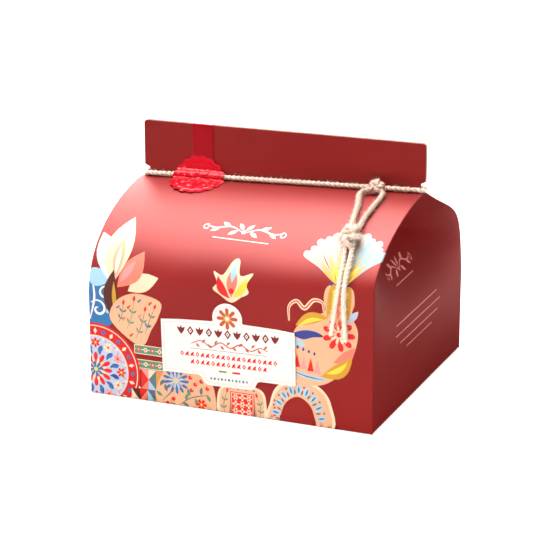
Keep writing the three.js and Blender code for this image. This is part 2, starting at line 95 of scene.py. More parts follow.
INKS = {
    "red": linear("931B19"),
    "cream": linear("E6CFB0"),
    "white": linear("E6E0DA"),
    "peach": linear("E3AC88"),
    "coral": linear("EC7C69"),
    "sky": linear("9CC6DC"),
    "blue": linear("2F6FA8"),
    "navy": linear("37408C"),
    "brown": linear("5A2A22"),
    "green": linear("5A8A70"),
    "moss": linear("54706E"),
    "ochre": linear("C9942F"),
    "yellow": linear("EECB45"),
    "scarlet": linear("DE2020"),
    "wheel red": linear("CF1A24"),
    "pale blue": linear("B3BED6"),
    "pink": linear("EE9292"),
    "slate": linear("5A6F80"),
    "lining": linear("CFC7BC"),
    "cut edge": linear("9A4640"),
    "paper": linear("E2DAD7"),
    "grey paper": linear("CBC0BC"),
    "maroon": linear("7A2B2E"),
    "terracotta": linear("B5523E"),
    "olive": linear("7E8438"),
    "foil": linear("AA0519"),
    # seal is the foil red made lighter: a painted highlight for the light the seal catches.
    "seal": linear("DA1228"),
    "straw": linear("C4AE58"),
    # blossom and blossom sky are darker copies of the white and sky inks: painted shade that holds the fan
    # flower's petals back under the strong light on the roof.
    "blossom": linear("B4ADA6"),
    "blossom sky": linear("8FB2C2"),
    "vein": linear("A8906F"),
}
# blush is a darker, pinker copy of the ivory cord colour: painted shade for the knots and the strands between
# them.
COTTON = {"ivory": linear("F6E8D8"), "blush": linear("EAD2C3")}
INK_NAMES = list(INKS)
INK_TABLE = np.array([INKS[name] for name in INK_NAMES])


# ---------------------------------------------------------------- flat ornament shapes


def heading(angle):
    """A unit arrow at an angle."""
    return np.array([math.cos(angle), math.sin(angle)])


def crosswise(way):
    """The same arrow turned a quarter to the left."""
    return np.array([-way[1], way[0]])


def spline(points, steps=5, closed=True):
    """Points of a smooth curve through the given ones."""
    points = np.asarray(points, float)
    if closed:
        run = np.vstack([points[-1:], points, points[:2]])
    else:
        run = np.vstack([2 * points[0] - points[1], points, 2 * points[-1] - points[-2]])
    t = (np.arange(steps) / steps)[:, None]
    curve = []
    for a, b, c, d in zip(run, run[1:], run[2:], run[3:]):
        curve.append(b + (c - a) * t / 2 + (a - 2.5 * b + 2 * c - d / 2) * t**2
                     + (1.5 * (b - c) + (d - a) / 2) * t**3)
    return np.vstack(curve if closed else curve + [points[-1:]])


def bowed(base, tip, bend, steps):
    """Steps from 0 to 1, the spine at them, and a unit arrow across it; bend bows the spine."""
    base, tip = np.asarray(base, float), np.asarray(tip, float)
    side = crosswise(tip - base)
    t = np.linspace(0, 1, steps)[:, None]
    return t, base + (tip - base) * t + side * bend * 4 * t * (1 - t), side / np.linalg.norm(side)


def leaf(base, tip, width, bend=0.0, fullness=1.0, steps=9):
    """A leaf or petal pointed at both ends; a low fullness rounds them."""
    t, spine, side = bowed(base, tip, bend, steps)
    half = side * width / 2 * np.sin(np.pi * t) ** fullness
    return np.vstack([spine - half, (spine + half)[-2:0:-1]])


def petal(base, tip, width, bend=0.0, steps=12):
    """A petal that widens from its base to a rounded tip."""
    t, spine, side = bowed(base, tip, bend, steps)
    half = side * width / 2 * (0.25 * (1 - t) + t) ** 0.8 * np.sqrt(1 - t**5) * 1.12
    return np.vstack([spine - half, (spine + half)[-2::-1]])


def disc(centre, radius, steps=16):
    """A round dot."""
    turn = np.arange(steps) / steps * 2 * math.pi
    return np.asarray(centre, float) + radius * np.stack([np.cos(turn), np.sin(turn)], 1)


def bar(centre, width, height):
    """A plain rectangle."""
    x, y = centre
    w, h = width / 2, height / 2
    return np.array([(x - w, y - h), (x + w, y - h), (x + w, y + h), (x - w, y + h)], float)


def lozenge(centre, width, height):
    """A rectangle's inner diamond."""
    x, y = centre
    return np.array([(x - width / 2, y), (x, y - height / 2), (x + width / 2, y), (x, y + height / 2)], float)


def stroke(points, width, taper=0.35):
    """A brushed line, narrower towards its ends."""
    line = spline(points, closed=False)
    run = np.gradient(line, axis=0)
    side = np.stack([-run[:, 1], run[:, 0]], 1) / np.linalg.norm(run, axis=1)[:, None]
    swell = taper + (1 - taper) * np.sin(np.pi * np.linspace(0, 1, len(line)))
    half = side * (width / 2 * swell)[:, None]
    return np.vstack([line - half, (line + half)[::-1]])


def curl(centre, radius, turns, width, start=0.0):
    """A brushed spiral from its centre outwards."""
    t = np.linspace(0.12, 1, int(8 * abs(turns)) + 3)
    angle = start + turns * 2 * math.pi * t
    return stroke(
        np.asarray(centre, float) + radius * t[:, None] * np.stack([np.cos(angle), np.sin(angle)], 1), width)


def flower(centre, radius, petals, ink, heart, width=0.62, start=0.0):
    """A round flower; width is a petal's share of its room."""
    shapes = []
    for i in range(petals):
        angle = start + 2 * math.pi * i / petals
        way = heading(angle)
        shapes.append((ink, petal(centre + way * radius * 0.12, centre + way * radius,
                                  width * radius * 6.3 / petals)))
    shapes.append((heart, disc(centre, radius * 0.26, 12)))
    return shapes


def sprig(points, stem, leaves, width=0.9, size=6.0, tip=None):
    """A stem with leaves in pairs and a bud at its end."""
    line = spline(points, 4, closed=False)
    shapes = [(stem, stroke(points, width, 0.5))]
    for i in range(2, len(line) - 1, 3):
        way = line[min(i + 1, len(line) - 1)] - line[i - 1]
        way = way / np.linalg.norm(way)
        across = crosswise(way)
        for side in (-1, 1):
            end = line[i] + (way * 0.75 + across * side * 0.7) * size
            shapes.append((leaves, leaf(line[i], end, size * 0.38, 0.08 * side)))
    shapes.append((tip or leaves, leaf(line[-1] - way * size * 0.2, line[-1] + way * size, size * 0.5)))
    return shapes


def moved(shapes, at=(0, 0), scale=1.0, turn=0.0, mirror=False):
    """Shapes mirrored, scaled, turned and put somewhere else."""
    c, s = math.cos(turn) * scale, math.sin(turn) * scale
    matrix = np.array([(c, s), (-s, c)])
    flip = np.array([-1.0 if mirror else 1.0, 1.0])
    return [(ink, (ring * flip) @ matrix + np.asarray(at, float)) for ink, ring in shapes]


def fan_flower():
    """A pale fan of notched petals with fine veins over straw throats and a yellow stem, base at (0, 0)."""
    # The petals take the darker blossom inks, painted shade against the strong light on the roof.
    petals = [((-32, 27), "blossom"), ((25, 33), "blossom sky"), ((-24, 39), "blossom"),
              ((16, 43), "blossom sky"), ((-13, 46), "blossom"), ((4, 49), "blossom")]
    shapes = []
    for (x, y), ink in petals:
        base, tip = np.array([0.1 * x, 1.0]), np.array([x, y], float)
        way = (tip - base) / np.linalg.norm(tip - base)
        across = crosswise(way)
        rounds = [base + way * 3 + across * 1.2, base + way * 20 + across * 3.1,
                  tip - way * 11 + across * 5.2, tip - way * 2 + across * 7.0,
                  tip + way * 1.2 + across * 3.4, tip - way * 1.2 + across * 0.6,
                  tip + way * 1.6 - across * 2.6, tip - way * 2.4 - across * 6.6,
                  tip - way * 11 - across * 5.0, base + way * 20 - across * 3.1,
                  base + way * 3 - across * 1.2]
        shapes.append((ink, spline(rounds, 4)))
        shapes.append(("straw", leaf(base, base + way * np.linalg.norm(tip - base) * 0.6, 4.4)))
        for side in (-1, 0, 1):
            shapes.append(("vein",
                           stroke([base + way * 10 + across * side * 0.8,
                                   base + way * 24 + across * side * 1.7,
                                   tip - way * 5 + across * side * 3.4], 0.5)))
    for x in (-5, 0, 5):
        shapes.append(("yellow", leaf((x * 0.5, -1), (x * 1.9, 17), 4.4)))
        shapes.append(("ochre", leaf((x * 0.5, -1), (x * 1.6, 11), 1.2)))
    shapes += [("ochre", disc((x, -1.5), 2.1, 10)) for x in (-6, -2, 2, 6)]
    return shapes


def lily():
    """A pointed flower with two side petals, base at (0, 0) and 33 tall."""
    return [("cream", spline([(0, 0), (-9, 5), (-15, 9), (-12, 14), (-16, 22), (-8, 20), (-2, 32), (3, 33),
                              (6, 21), (16, 24), (12, 15), (14, 9), (8, 5)], 4)),
            ("scarlet", leaf((-1, 3), (-12, 19), 6.5, 0.1)), ("coral", leaf((0, 4), (0, 27), 8.5)),
            ("yellow", leaf((1, 4), (12, 20), 6.2, -0.1)), ("sky", leaf((0, 15), (0.5, 30), 4.4)),
            ("scarlet", disc((0, 9), 2.2, 10))]


def rosette_wheel():
    """A red ring of small motifs round a field packed with blossoms, 37.5 in radius, centre at (0, 0)."""
    shapes = [("wheel red", disc((0, 0), 37.5, 56)), ("cream", disc((0, 0), 35.6, 56)),
              ("wheel red", disc((0, 0), 34.8, 56))]
    for i in range(28):
        angle = 2 * math.pi * i / 28
        way = heading(angle)
        if i % 2:
            shapes.append(("cream", moved([("", lozenge((0, 0), 5.2, 3.0))], way * 31, 1, angle)[0][1]))
        else:
            shapes.append(("blue", disc(way * 31, 1.6, 10)))
    shapes += [("cream", disc((0, 0), 27.6, 48)), ("pale blue", disc((0, 0), 26.8, 48))]
    for i in range(12):
        angle = 2 * math.pi * i / 12
        way = heading(angle)
        across = crosswise(way)
        shapes += [("scarlet", stroke([way * 25.5 - across * 5, way * 20.5, way * 25.5 + across * 5], 1.0)),
                   ("navy", leaf(way * 12 + across * 2.5, way * 20 + across * 5.5, 3.0, 0.12)),
                   ("blue", leaf(way * 14 - across * 2, way * 19.5 - across * 6, 2.6, -0.12)),
                   ("cream", disc(way * 25 + across * 6.6, 1.1, 8))]
        shapes += flower(way * 21.5, 3.9, 6, ("scarlet", "pink", "cream")[i % 3],
                         ("yellow", "wheel red", "scarlet")[i % 3], 0.6, angle)
    shapes += flower(np.zeros(2), 14, 12, "scarlet", "cream", 0.54)
    shapes += flower(np.zeros(2), 9.5, 12, "cream", "cream", 0.5, 0.26)
    shapes += flower(np.zeros(2), 6.5, 8, "blue", "yellow", 0.55, 0.2)
    return shapes


def bouquet():
    """Large pointed petals over a scrolled blue field, for the left edge."""
    shapes = [("blue", spline([(-119, 56), (-118, 92), (-106, 98), (-96, 92), (-92, 78), (-93, 62),
                               (-104, 54)]))]
    shapes += [("white", curl((-107, 69), 7.5, 1.3, 2.0, 0.6)),
               ("white", curl((-101, 82), 6, -1.2, 1.8, 2.0))]
    shapes += [("white", stroke([(-114, 60), (-110, 78), (-112, 92)], 1.8)),
               ("sky", disc((-99, 68), 1.8, 10))]
    shapes += [
        ("sky", leaf((-97, 92), (-119, 99), 14, 0.08)),
        ("white", leaf((-99, 93), (-112, 130), 19, -0.08)),
        ("cream", leaf((-82, 86), (-57, 99), 14, 0.05)),
        ("coral", leaf((-91, 88), (-73, 118), 17, -0.08)),
        ("cream", leaf((-95, 90), (-92, 148), 22, 0.02)),
        ("peach", leaf((-93, 94), (-93, 128), 9)),
        ("white", leaf((-93, 98), (-93, 120), 3.6)),
        ("pink", leaf((-89, 92), (-78, 110), 6)),
        ("brown", leaf((-93, 60), (-95, 101), 12, 0.06)),
        ("ochre", leaf((-93, 68), (-94, 92), 3.6)),
    ]
    shapes += [("white", disc((-106, 104 + 6 * i), 1.1, 8)) for i in range(3)]
    return shapes


def peach_panel():
    """The leafy field between the rosette wheel and the petals."""
    shapes = [("peach", spline([(-97, 62), (-92, 77), (-76, 85), (-55, 81), (-57, 68), (-63, 57), (-69, 45),
                                (-80, 47)]))]
    shapes += sprig([(-90, 60), (-87, 67), (-86, 75)], "moss", "moss", 0.6, 4.2, "scarlet")
    shapes += sprig([(-83, 56), (-79, 66), (-77, 79)], "green", "green", 0.6, 4.4, "wheel red")
    shapes += sprig([(-76, 49), (-71, 60), (-68, 72)], "moss", "green", 0.6, 4.2, "scarlet")
    shapes += sprig([(-68, 54), (-64, 65), (-60, 75)], "moss", "moss", 0.6, 4.0, "wheel red")
    for x, y, ink in ((-91, 72, "blue"), (-82, 73, "scarlet"), (-73, 79, "blue"), (-80, 51, "scarlet"),
                      (-64, 78, "scarlet"), (-73, 67, "coral"), (-86, 63, "coral"), (-66, 60, "blue")):
        shapes += [(ink, disc((x, y), 1.0, 8)), (ink, leaf((x, y), (x + 2.4, y + 2.2), 1.3))]
    for height in (41, 29.5):
        shapes += [("cream", bar((-65, height), 24.5, 7.4)), ("green", bar((-65, height), 23.4, 6.2)),
                   ("cream", bar((-65, height), 22.6, 0.5))]
        for i in range(4):
            shapes.append((("scarlet", "cream")[i % 2], lozenge((-73.6 + 5.8 * i, height), 4.2, 4.2)))
            shapes.append((("cream", "scarlet")[i % 2], lozenge((-73.6 + 5.8 * i, height), 1.8, 1.8)))
    return shapes + patchwork((-78, 9.5), 7, 2, 6.2, 8.0)


def patchwork(corner, columns, rows, width, height):
    """Rows of cloth triangles in mixed colours."""
    inks = ("cream", "blue", "coral", "brown", "sky", "scarlet", "peach", "slate", "pink", "ochre")
    shapes = []
    for row in range(rows):
        for column in range(columns):
            x, y = corner[0] + column * width, corner[1] + row * height
            pick = 3 * row + 2 * column
            corners = np.array([(x, y), (x + width, y), (x + width, y + height), (x, y + height)], float)
            low, high = ([0, 1, 2], [0, 2, 3]) if (row + column) % 2 else ([0, 1, 3], [1, 2, 3])
            shapes += [(inks[pick % 10], corners[low]), (inks[(pick + 3) % 10], corners[high])]
    return shapes


def meadow():
    """The strip of small flowers along the bottom edge under the label."""
    shapes = patchwork((-80, -2), 5, 1, 6.6, 11)
    shapes.append(("peach", spline([(-52, -2), (-60, 6), (-57, 18), (-50, 29), (-38, 31), (-26, 28),
                                    (-14, 23), (-10, 8), (-12, -2), (-32, -3)])))
    shapes += [("moss", stroke([(-54, 3), (-48, 9), (-43, 17)], 0.9)),
               ("moss", stroke([(-40, 1), (-30, 8), (-16, 12)], 0.9))]
    for x, y, turn, ink in ((-54, 6, 2.5, "green"), (-35, 5, 1.2, "green"), (-50, 10, 1.9, "moss"),
                            (-27, 8, -1.4, "green"), (-22, 11, 1.5, "moss"), (-38, 3, -0.4, "moss"),
                            (-31, 9, 1.9, "green"), (-18, 12, -1.0, "green"), (-56, 14, 1.0, "moss")):
        shapes.append((ink, leaf((x, y), (x + 6.5 * math.cos(turn), y + 6.5 * math.sin(turn)), 2.6, 0.06)))
    shapes += flower(np.array([-43.0, 20.0]), 11, 13, "blue", "ochre", 0.5)
    shapes += flower(np.array([-43.0, 20.0]), 6.5, 9, "pale blue", "yellow", 0.5, 0.3)
    shapes += flower(np.array([-22.0, 3.5]), 4.6, 6, "scarlet", "yellow", 0.6)
    berries = [(-31, 24), (-27, 19), (-22, 22), (-17, 17), (-30, 14)]
    shapes += [("scarlet", disc(p, 1.7, 12)) for p in [*berries, (-50, 1), (-45, 5)]]
    shapes += [("cream", disc((x + 0.6, y + 0.6), 0.5, 8)) for x, y in berries]
    shapes += [("cream", spline([(-7, -2), (-9, 12), (-4, 22), (12, 24.5), (27, 22), (31, 12), (29, -2),
                                 (10, -3)])),
               ("peach", spline([(-5, -2), (-6.6, 12), (-2.6, 20.4), (12, 22.8), (25.6, 20.4), (29, 12),
                                 (27.4, -2), (10, -3)]))]
    shapes += sprig([(-3, 0), (-3.5, 8), (-1, 17)], "moss", "green", 0.6, 3.6, "scarlet")
    shapes += sprig([(25.5, 0), (26.5, 8), (23.5, 16)], "moss", "green", 0.6, 3.6, "scarlet")
    shapes += [("scarlet", bar((11.5, 8.5), 19.5, 19)), ("cream", bar((11.5, 8.5), 18, 17.5)),
               ("scarlet", bar((11.5, 8.5), 16.8, 16.3))]
    for x in range(3):
        for y in range(3):
            shapes += flower(np.array([6.1 + 5.4 * x, 3.1 + 5.4 * y]), 2.6, 6 - (x + y) % 2 * 2, "cream",
                             "scarlet", 0.5)
    return shapes + [("blue", disc((2 + 6.3 * i, 20.6), 0.8, 8)) for i in range(4)]


def vase():
    """The tall patterned vase under the fan flower, with an arch of leaves at its foot."""
    shapes = [("cream", spline([(34, -3), (34, 14), (40, 28), (56, 36), (74, 31), (83, 18), (82, -3)])),
              ("peach", spline([(36, -3), (36, 14), (42, 26), (56, 33.5), (73, 29), (80.5, 18), (80, -3)])),
              ("red", spline([(43, -3), (44, 10), (49, 18), (57, 21.5), (65, 17), (69, 9), (69, -3)]))]
    for i in range(9):
        q = math.pi * (0.06 + 0.11 * i)
        way = heading(q)
        middle = np.array([57.0, 2.0]) + way * (18.5, 25)
        beside = np.array([57.0, 2.0]) + heading(q + 0.17) * (18.5, 25)
        shapes += [("sky", leaf(middle - way * 4.4, middle + way * 4.4, 4.0)),
                   ("blue", leaf(middle - way * 3, middle + way * 3, 1.4)),
                   ("slate", leaf(beside - way * 4.2, beside + way * 0.6, 1.6)),
                   ("blue", disc(beside + way * 3, 0.9, 8))]
    shapes += [("scarlet", disc((37.6, 4 + 6 * i), 0.9, 8)) for i in range(3)]
    shapes.append(("peach", spline([(56, 34), (51, 48), (50, 62), (55, 76), (67, 85), (77, 91), (76, 101),
                                    (80, 111), (97, 111), (100, 100), (98, 90), (103, 77), (99, 58),
                                    (89, 43), (74, 33)])))
    for i, ink in enumerate(("ochre", "yellow", "coral", "yellow", "ochre")):
        x = 80.5 + 4 * i
        shapes.append((ink, leaf((x - 1.5, 86), (x + 0.6, 110), 4.6, 0.02 * (i - 2), 0.6)))
    shapes += [("ochre", leaf((54, 77), (80, 86), 9, 0.1)), ("yellow", leaf((56, 76.5), (76, 84), 3.4, 0.1)),
               ("navy", spline([(52, 70), (60, 74), (70, 74), (76, 71), (68, 69.5), (60, 67)])),
               ("sky", leaf((51, 66), (62, 62), 5)), ("coral", leaf((84, 52), (101, 66), 8, -0.1)),
               ("ochre", leaf((74, 40), (99, 58), 11, -0.12)), ("yellow", leaf((78, 43), (95, 54), 4, -0.12))]
    shapes += flower(np.array([88.0, 74.0]), 13, 9, "scarlet", "peach", 0.56)
    shapes += flower(np.array([88.0, 74.0]), 7.5, 9, "cream", "scarlet", 0.5, 0.3)
    shapes += [("navy", lozenge((56 + 4.4 * i, 60.5 - 1.2 * i), 2.2, 3.4)) for i in range(4)]
    for i in range(4):
        x = 55.5 + 5.4 * i
        shapes.append((("scarlet", "pink")[i % 2],
                       np.array([(x - 2.6, 45 - i), (x + 2.6, 45 - i), (x, 55.5 - i)])))
    band = [(53, 41), (64, 38.5), (77, 37.5)]
    handle = [(49, 80), (49, 91), (55, 96), (61, 91), (68, 98), (75, 97), (76, 90)]
    shapes += [("sky", stroke(band, 3.0, 0.8)), ("navy", stroke(band, 0.8)), ("cream", stroke(handle, 3.4)),
               ("scarlet", stroke(handle, 1.1)), ("pale blue", leaf((95, 84), (103, 94), 5))]
    shapes += [("navy", disc((81 + 4.4 * i, 112), 1.3, 10)) for i in range(4)]
    return shapes + moved(fan_flower(), (89, 111))


def flourish():
    """A plain white sprig pair over a thin rule, centre at (0, 0)."""
    half = [("white", stroke([(1.5, 0), (12, 4.5), (24, 1.5), (33, 4.5)], 1.5)),
            ("white", curl((31, 1.4), 3.6, 1.1, 1.1, 1.2)), ("white", leaf((5, 1), (12, -4), 3.4)),
            ("white", leaf((12, 4), (20, 8.5), 3.6)), ("white", leaf((20, 2.5), (27, -2.5), 3.2)),
            ("white", leaf((1, 2), (6, 9), 3.4))]
    return half + moved(half, mirror=True) + [("white", disc((0, 0), 1.9, 12)),
                                              ("white", bar((0, -8), 46, 0.8))]


def front_art():
    """The front's print: bouquet and wheel on the left, meadow along the foot, vase on the right."""
    shapes = bouquet() + peach_panel() + moved(rosette_wheel(), (-110, 20)) + meadow() + vase()
    return shapes + moved(lily(), (3, 88)) + moved(flourish(), (0, 146))


def back_art():
    """The back's print: a wheel between two mirrored sprays."""
    shapes = moved(rosette_wheel(), (0, 46)) + moved(flourish(), (0, 112), 1.1)
    for side in (False, True):
        way = 1 if side else -1
        shapes += moved(fan_flower(), (way * 84, 88), 0.9, mirror=side)
        shapes += moved(lily(), (way * 60, 30), 1.0, mirror=side)
        shapes += sprig([(way * 84, 2), (way * 92, 38), (way * 84, 84)], "cream", "sky", 1.4, 9)
        shapes += moved(flower(np.zeros(2), 13, 10, "coral", "yellow", 0.5), (way * 104, 34))
        shapes += moved(flower(np.zeros(2), 9, 8, "blue", "ochre", 0.5), (way * 60, 14))
    return shapes


def end_art():
    """A pale sprig over four thin rules for an end wall."""
    shapes = moved([("pink", ring) for _, ring in flourish()], (0, 96), 0.9)
    widths = [96, 104, 88, 60]
    return shapes + [("pink", bar((0, 66 - 7 * i), width, 0.7)) for i, width in enumerate(widths)]


def label_art():
    """Bands of small ornaments: a dark frieze, a vine, two bright friezes and a rosette in the medallion."""
    shapes = []
    for i in range(-5, 6):
        x = i * 7.6
        if i % 2:
            shapes += [("maroon", leaf((x, 9.6), (x + side * 3.4, 15.4), 2.7, 0.12 * side))
                       for side in (-1, 1)]
            shapes.append(("maroon", leaf((x, 9.4), (x, 16.8), 2.0)))
        else:
            shapes += [("maroon", lozenge((x, 13), 5.6, 7.4)), ("paper", lozenge((x, 13), 2.8, 3.8)),
                       ("maroon", lozenge((x, 13), 1.2, 1.6))]
    shapes.append(("terracotta", stroke([(-30, 3), (-22, 6), (-14, 2), (-6, 6), (2, 2.4), (10, 6), (18, 2),
                                         (26, 5), (32, 3)], 1.0, 0.7)))
    for i, x in enumerate(range(-26, 30, 5)):
        side = 1 if i % 2 else -1
        shapes.append(("terracotta", leaf((x, 4), (x + 3, 4 + side * 3.2), 1.7, 0.1 * side)))
    shapes.append(("maroon", bar((0, -0.6), 62, 0.35)))
    for row, count in ((-5.4, 9), (-11.2, 7)):
        for i in range(-count, count + 1):
            x = i * 4.2
            if i % 3:
                shapes += [("scarlet", leaf((x - 1.6, row - 1.9), (x + 1.4, row + 1.9), 1.9)),
                           ("scarlet", leaf((x + 1.7, row - 1.9), (x - 0.6, row + 0.2), 1.1))]
            else:
                shapes += [("scarlet", lozenge((x, row), 3.2, 4.2)), ("paper", lozenge((x, row), 1.3, 1.8))]
    shapes += [("olive", bar((-5, -16.8), 6.4, 1.5)), ("scarlet", bar((6, -16.8), 6.4, 1.5))]
    for i in range(-5, 6):
        shapes.append(("slate", lozenge((i * 2.9, -23), 1.7 if i % 2 else 2.4, 2.6)))
    shapes += flower(np.array([0.0, 25.4]), 8.6, 8, "terracotta", "paper", 0.52)
    shapes += flower(np.array([0.0, 25.4]), 4.6, 8, "ochre", "paper", 0.4, 0.39)
    return shapes


# ---------------------------------------------------------------- sheets of board, paper and foil


def within(ring, points):
    """Which of the points lie inside the ring."""
    inside = np.zeros(len(points), bool)
    for (ax, ay), (bx, by) in zip(ring, np.roll(ring, -1, axis=0)):
        if ay != by:
            crosses = (ay > points[:, 1]) != (by > points[:, 1])
            inside ^= crosses & (points[:, 0] < (bx - ax) * (points[:, 1] - ay) / (by - ay) + ax)
    return inside


def cut(outline, seeds, shapes):
    """Flat points, triangles and the number of each triangle's topmost shape, -1 for none."""
    low, high = outline.min(0) + 0.03, outline.max(0) - 0.03
    rings = [np.clip(ring, low, high) for _, ring in shapes]
    points, edges = [], []
    for ring in [outline, *rings]:
        edges.extend((len(points) + i, len(points) + (i + 1) % len(ring)) for i in range(len(ring)))
        points.extend(ring)
    points.extend(seeds)
    made = geometry.delaunay_2d_cdt([Vector(p) for p in points], edges, [], 1, 0.002)
    flat = np.array([tuple(p) for p in made[0]])
    triangles = np.array([face for face in made[2] if len(face) == 3])
    middles = flat[triangles].mean(1)
    on_top = np.full(len(triangles), -1)
    for i, ring in enumerate(rings):
        near = np.nonzero(((middles > ring.min(0)) & (middles < ring.max(0))).all(1))[0]
        on_top[near[within(ring, middles[near])]] = i
    return flat, triangles, on_top


def unit(vectors):
    """The same vectors, each one long."""
    return vectors / np.maximum(np.linalg.norm(vectors, axis=-1, keepdims=True), 1e-9)


def normals_of(surface, flat, low, high, reach=0.25):
    """Outward normals of a surface over flat points that stay between low and high."""
    def step(way):
        return surface(np.clip(flat + way, low, high)) - surface(np.clip(flat - way, low, high))
    return unit(np.cross(step(np.array([reach, 0])), step(np.array([0, reach]))))


def shell(name, outer, normals, triangles, thickness, inks, pearl, material, lining="lining", rim="cut edge"):
    """A closed sheet behind an outer face of triangles, with each face's ink and share of pearl coating."""
    count = len(outer)
    a, b = triangles.ravel(), np.roll(triangles, -1, axis=1).ravel()
    open_edge = ~np.isin(a * count + b, b * count + a)
    a, b = a[open_edge], b[open_edge]
    quads = np.stack([b, a, a + count, b + count], 1)
    mesh = bpy.data.meshes.new(name)
    points = np.vstack([outer, outer - normals * thickness]) * MM
    mesh.from_pydata(points.tolist(), [], [*triangles.tolist(), *(triangles[:, ::-1] + count).tolist(),
                                           *quads.tolist()])
    tint = np.vstack([np.repeat(inks, 3, axis=0), np.tile(INKS[lining], (3 * len(triangles), 1)),
                      np.tile(INKS[rim], (4 * len(quads), 1))])
    colour = mesh.color_attributes.new("ink", "FLOAT_COLOR", "CORNER")
    colour.data.foreach_set("color", np.hstack([tint, np.ones((len(tint), 1))]).ravel())
    coating = mesh.attributes.new("pearl", "FLOAT", "FACE")
    coating.data.foreach_set("value", np.concatenate([pearl, np.zeros(len(triangles) + len(quads))]))
    smooth = np.concatenate([np.ones(2 * len(triangles), bool), np.zeros(len(quads), bool)])
    mesh.polygons.foreach_set("use_smooth", smooth)
    turned = np.vstack([normals[triangles.ravel()], -normals[triangles[:, ::-1].ravel()],
                        np.zeros((4 * len(quads), 3))])
    mesh.normals_split_custom_set(turned.tolist())
    return placed(name, mesh, material)


def placed(name, mesh, material):
    """A mesh as an object in the scene, in one material."""
    piece = bpy.data.objects.new(name, mesh)
    bpy.context.scene.collection.objects.link(piece)
    mesh.materials.append(material)
    return piece


def cut_sheet(name, outline, seeds, shapes, surface, thickness, material, ground="red", **looks):
    """A printed sheet: shapes on a flat outline, laid over a surface."""
    outline = np.asarray(outline, float)
    flat, triangles, on_top = cut(outline, seeds, shapes)
    numbers = np.array([INK_NAMES.index(ink) for ink, _ in shapes] + [INK_NAMES.index(ground)])
    normals = normals_of(surface, flat, outline.min(0), outline.max(0))
    return shell(name, surface(flat), normals, triangles, thickness, INK_TABLE[numbers[on_top]],
                 np.where(on_top < 0, 1.0, 0.45), material, **looks)


def grid_triangles(rows, columns, round_way=False):
    """Triangles of a grid of points stored row by row."""
    last = columns if round_way else columns - 1
    i, j = np.meshgrid(np.arange(rows - 1), np.arange(last), indexing="ij")
    a, b = (i * columns + j).ravel(), (i * columns + (j + 1) % columns).ravel()
    c, d = b + columns, a + columns
    return np.vstack([np.stack([a, b, c], 1), np.stack([a, c, d], 1)])


def grid_sheet(name, grid, outward, thickness, material, ink="red", **looks):
    """A sheet through a grid of points; outward is a direction its face turns to."""
    rows, columns = grid.shape[:2]
    normals = unit(np.cross(np.gradient(grid, axis=1), np.gradient(grid, axis=0)))
    triangles = grid_triangles(rows, columns)
    if (normals.mean((0, 1)) @ np.asarray(outward, float)) < 0:
        normals = -normals
        triangles = triangles[:, ::-1]
    return shell(name, grid.reshape(-1, 3), normals.reshape(-1, 3), triangles, thickness,
                 np.tile(INKS[ink], (len(triangles), 1)), np.ones(len(triangles)), material, **looks)


def finished(piece, slot, *nodes):
    """Hands a piece over to the frame in place of the nodes that it stands for."""
    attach(piece, "root")
    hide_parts(*nodes)
    return piece


# ---------------------------------------------------------------- the folded shape


def edge_curve(panel, end, t):
    """Points of a roof edge: t from 0 to 1 up the wall and from 1 to 2 over the roof to the ridge."""
    form = ROOF_EDGES[panel, end]
    side = -1 if panel == "front" else 1
    foot = np.array([(2 * end - 1) * HALF_WIDTH, side * HALF_DEPTH, 0])
    bend = foot + (0, 0, form["bend"])
    stop = RIDGE[end] + (0, side * FIN_HALF, 0)
    handles = [bend, bend + (0, -side * form["lean"] * form["rise"], form["rise"]),
               stop + (0, side * form["reach"], -form["slope"] * form["reach"]), stop]
    t = np.asarray(t, float)[..., None]
    low, high = np.clip(t, 0, 1), np.clip(t - 1, 0, 1)
    weights = [(1 - high) ** 3, 3 * high * (1 - high) ** 2, 3 * high**2 * (1 - high), high**3]
    return foot + (bend - foot) * low - bend + sum(w * h for w, h in zip(weights, handles))


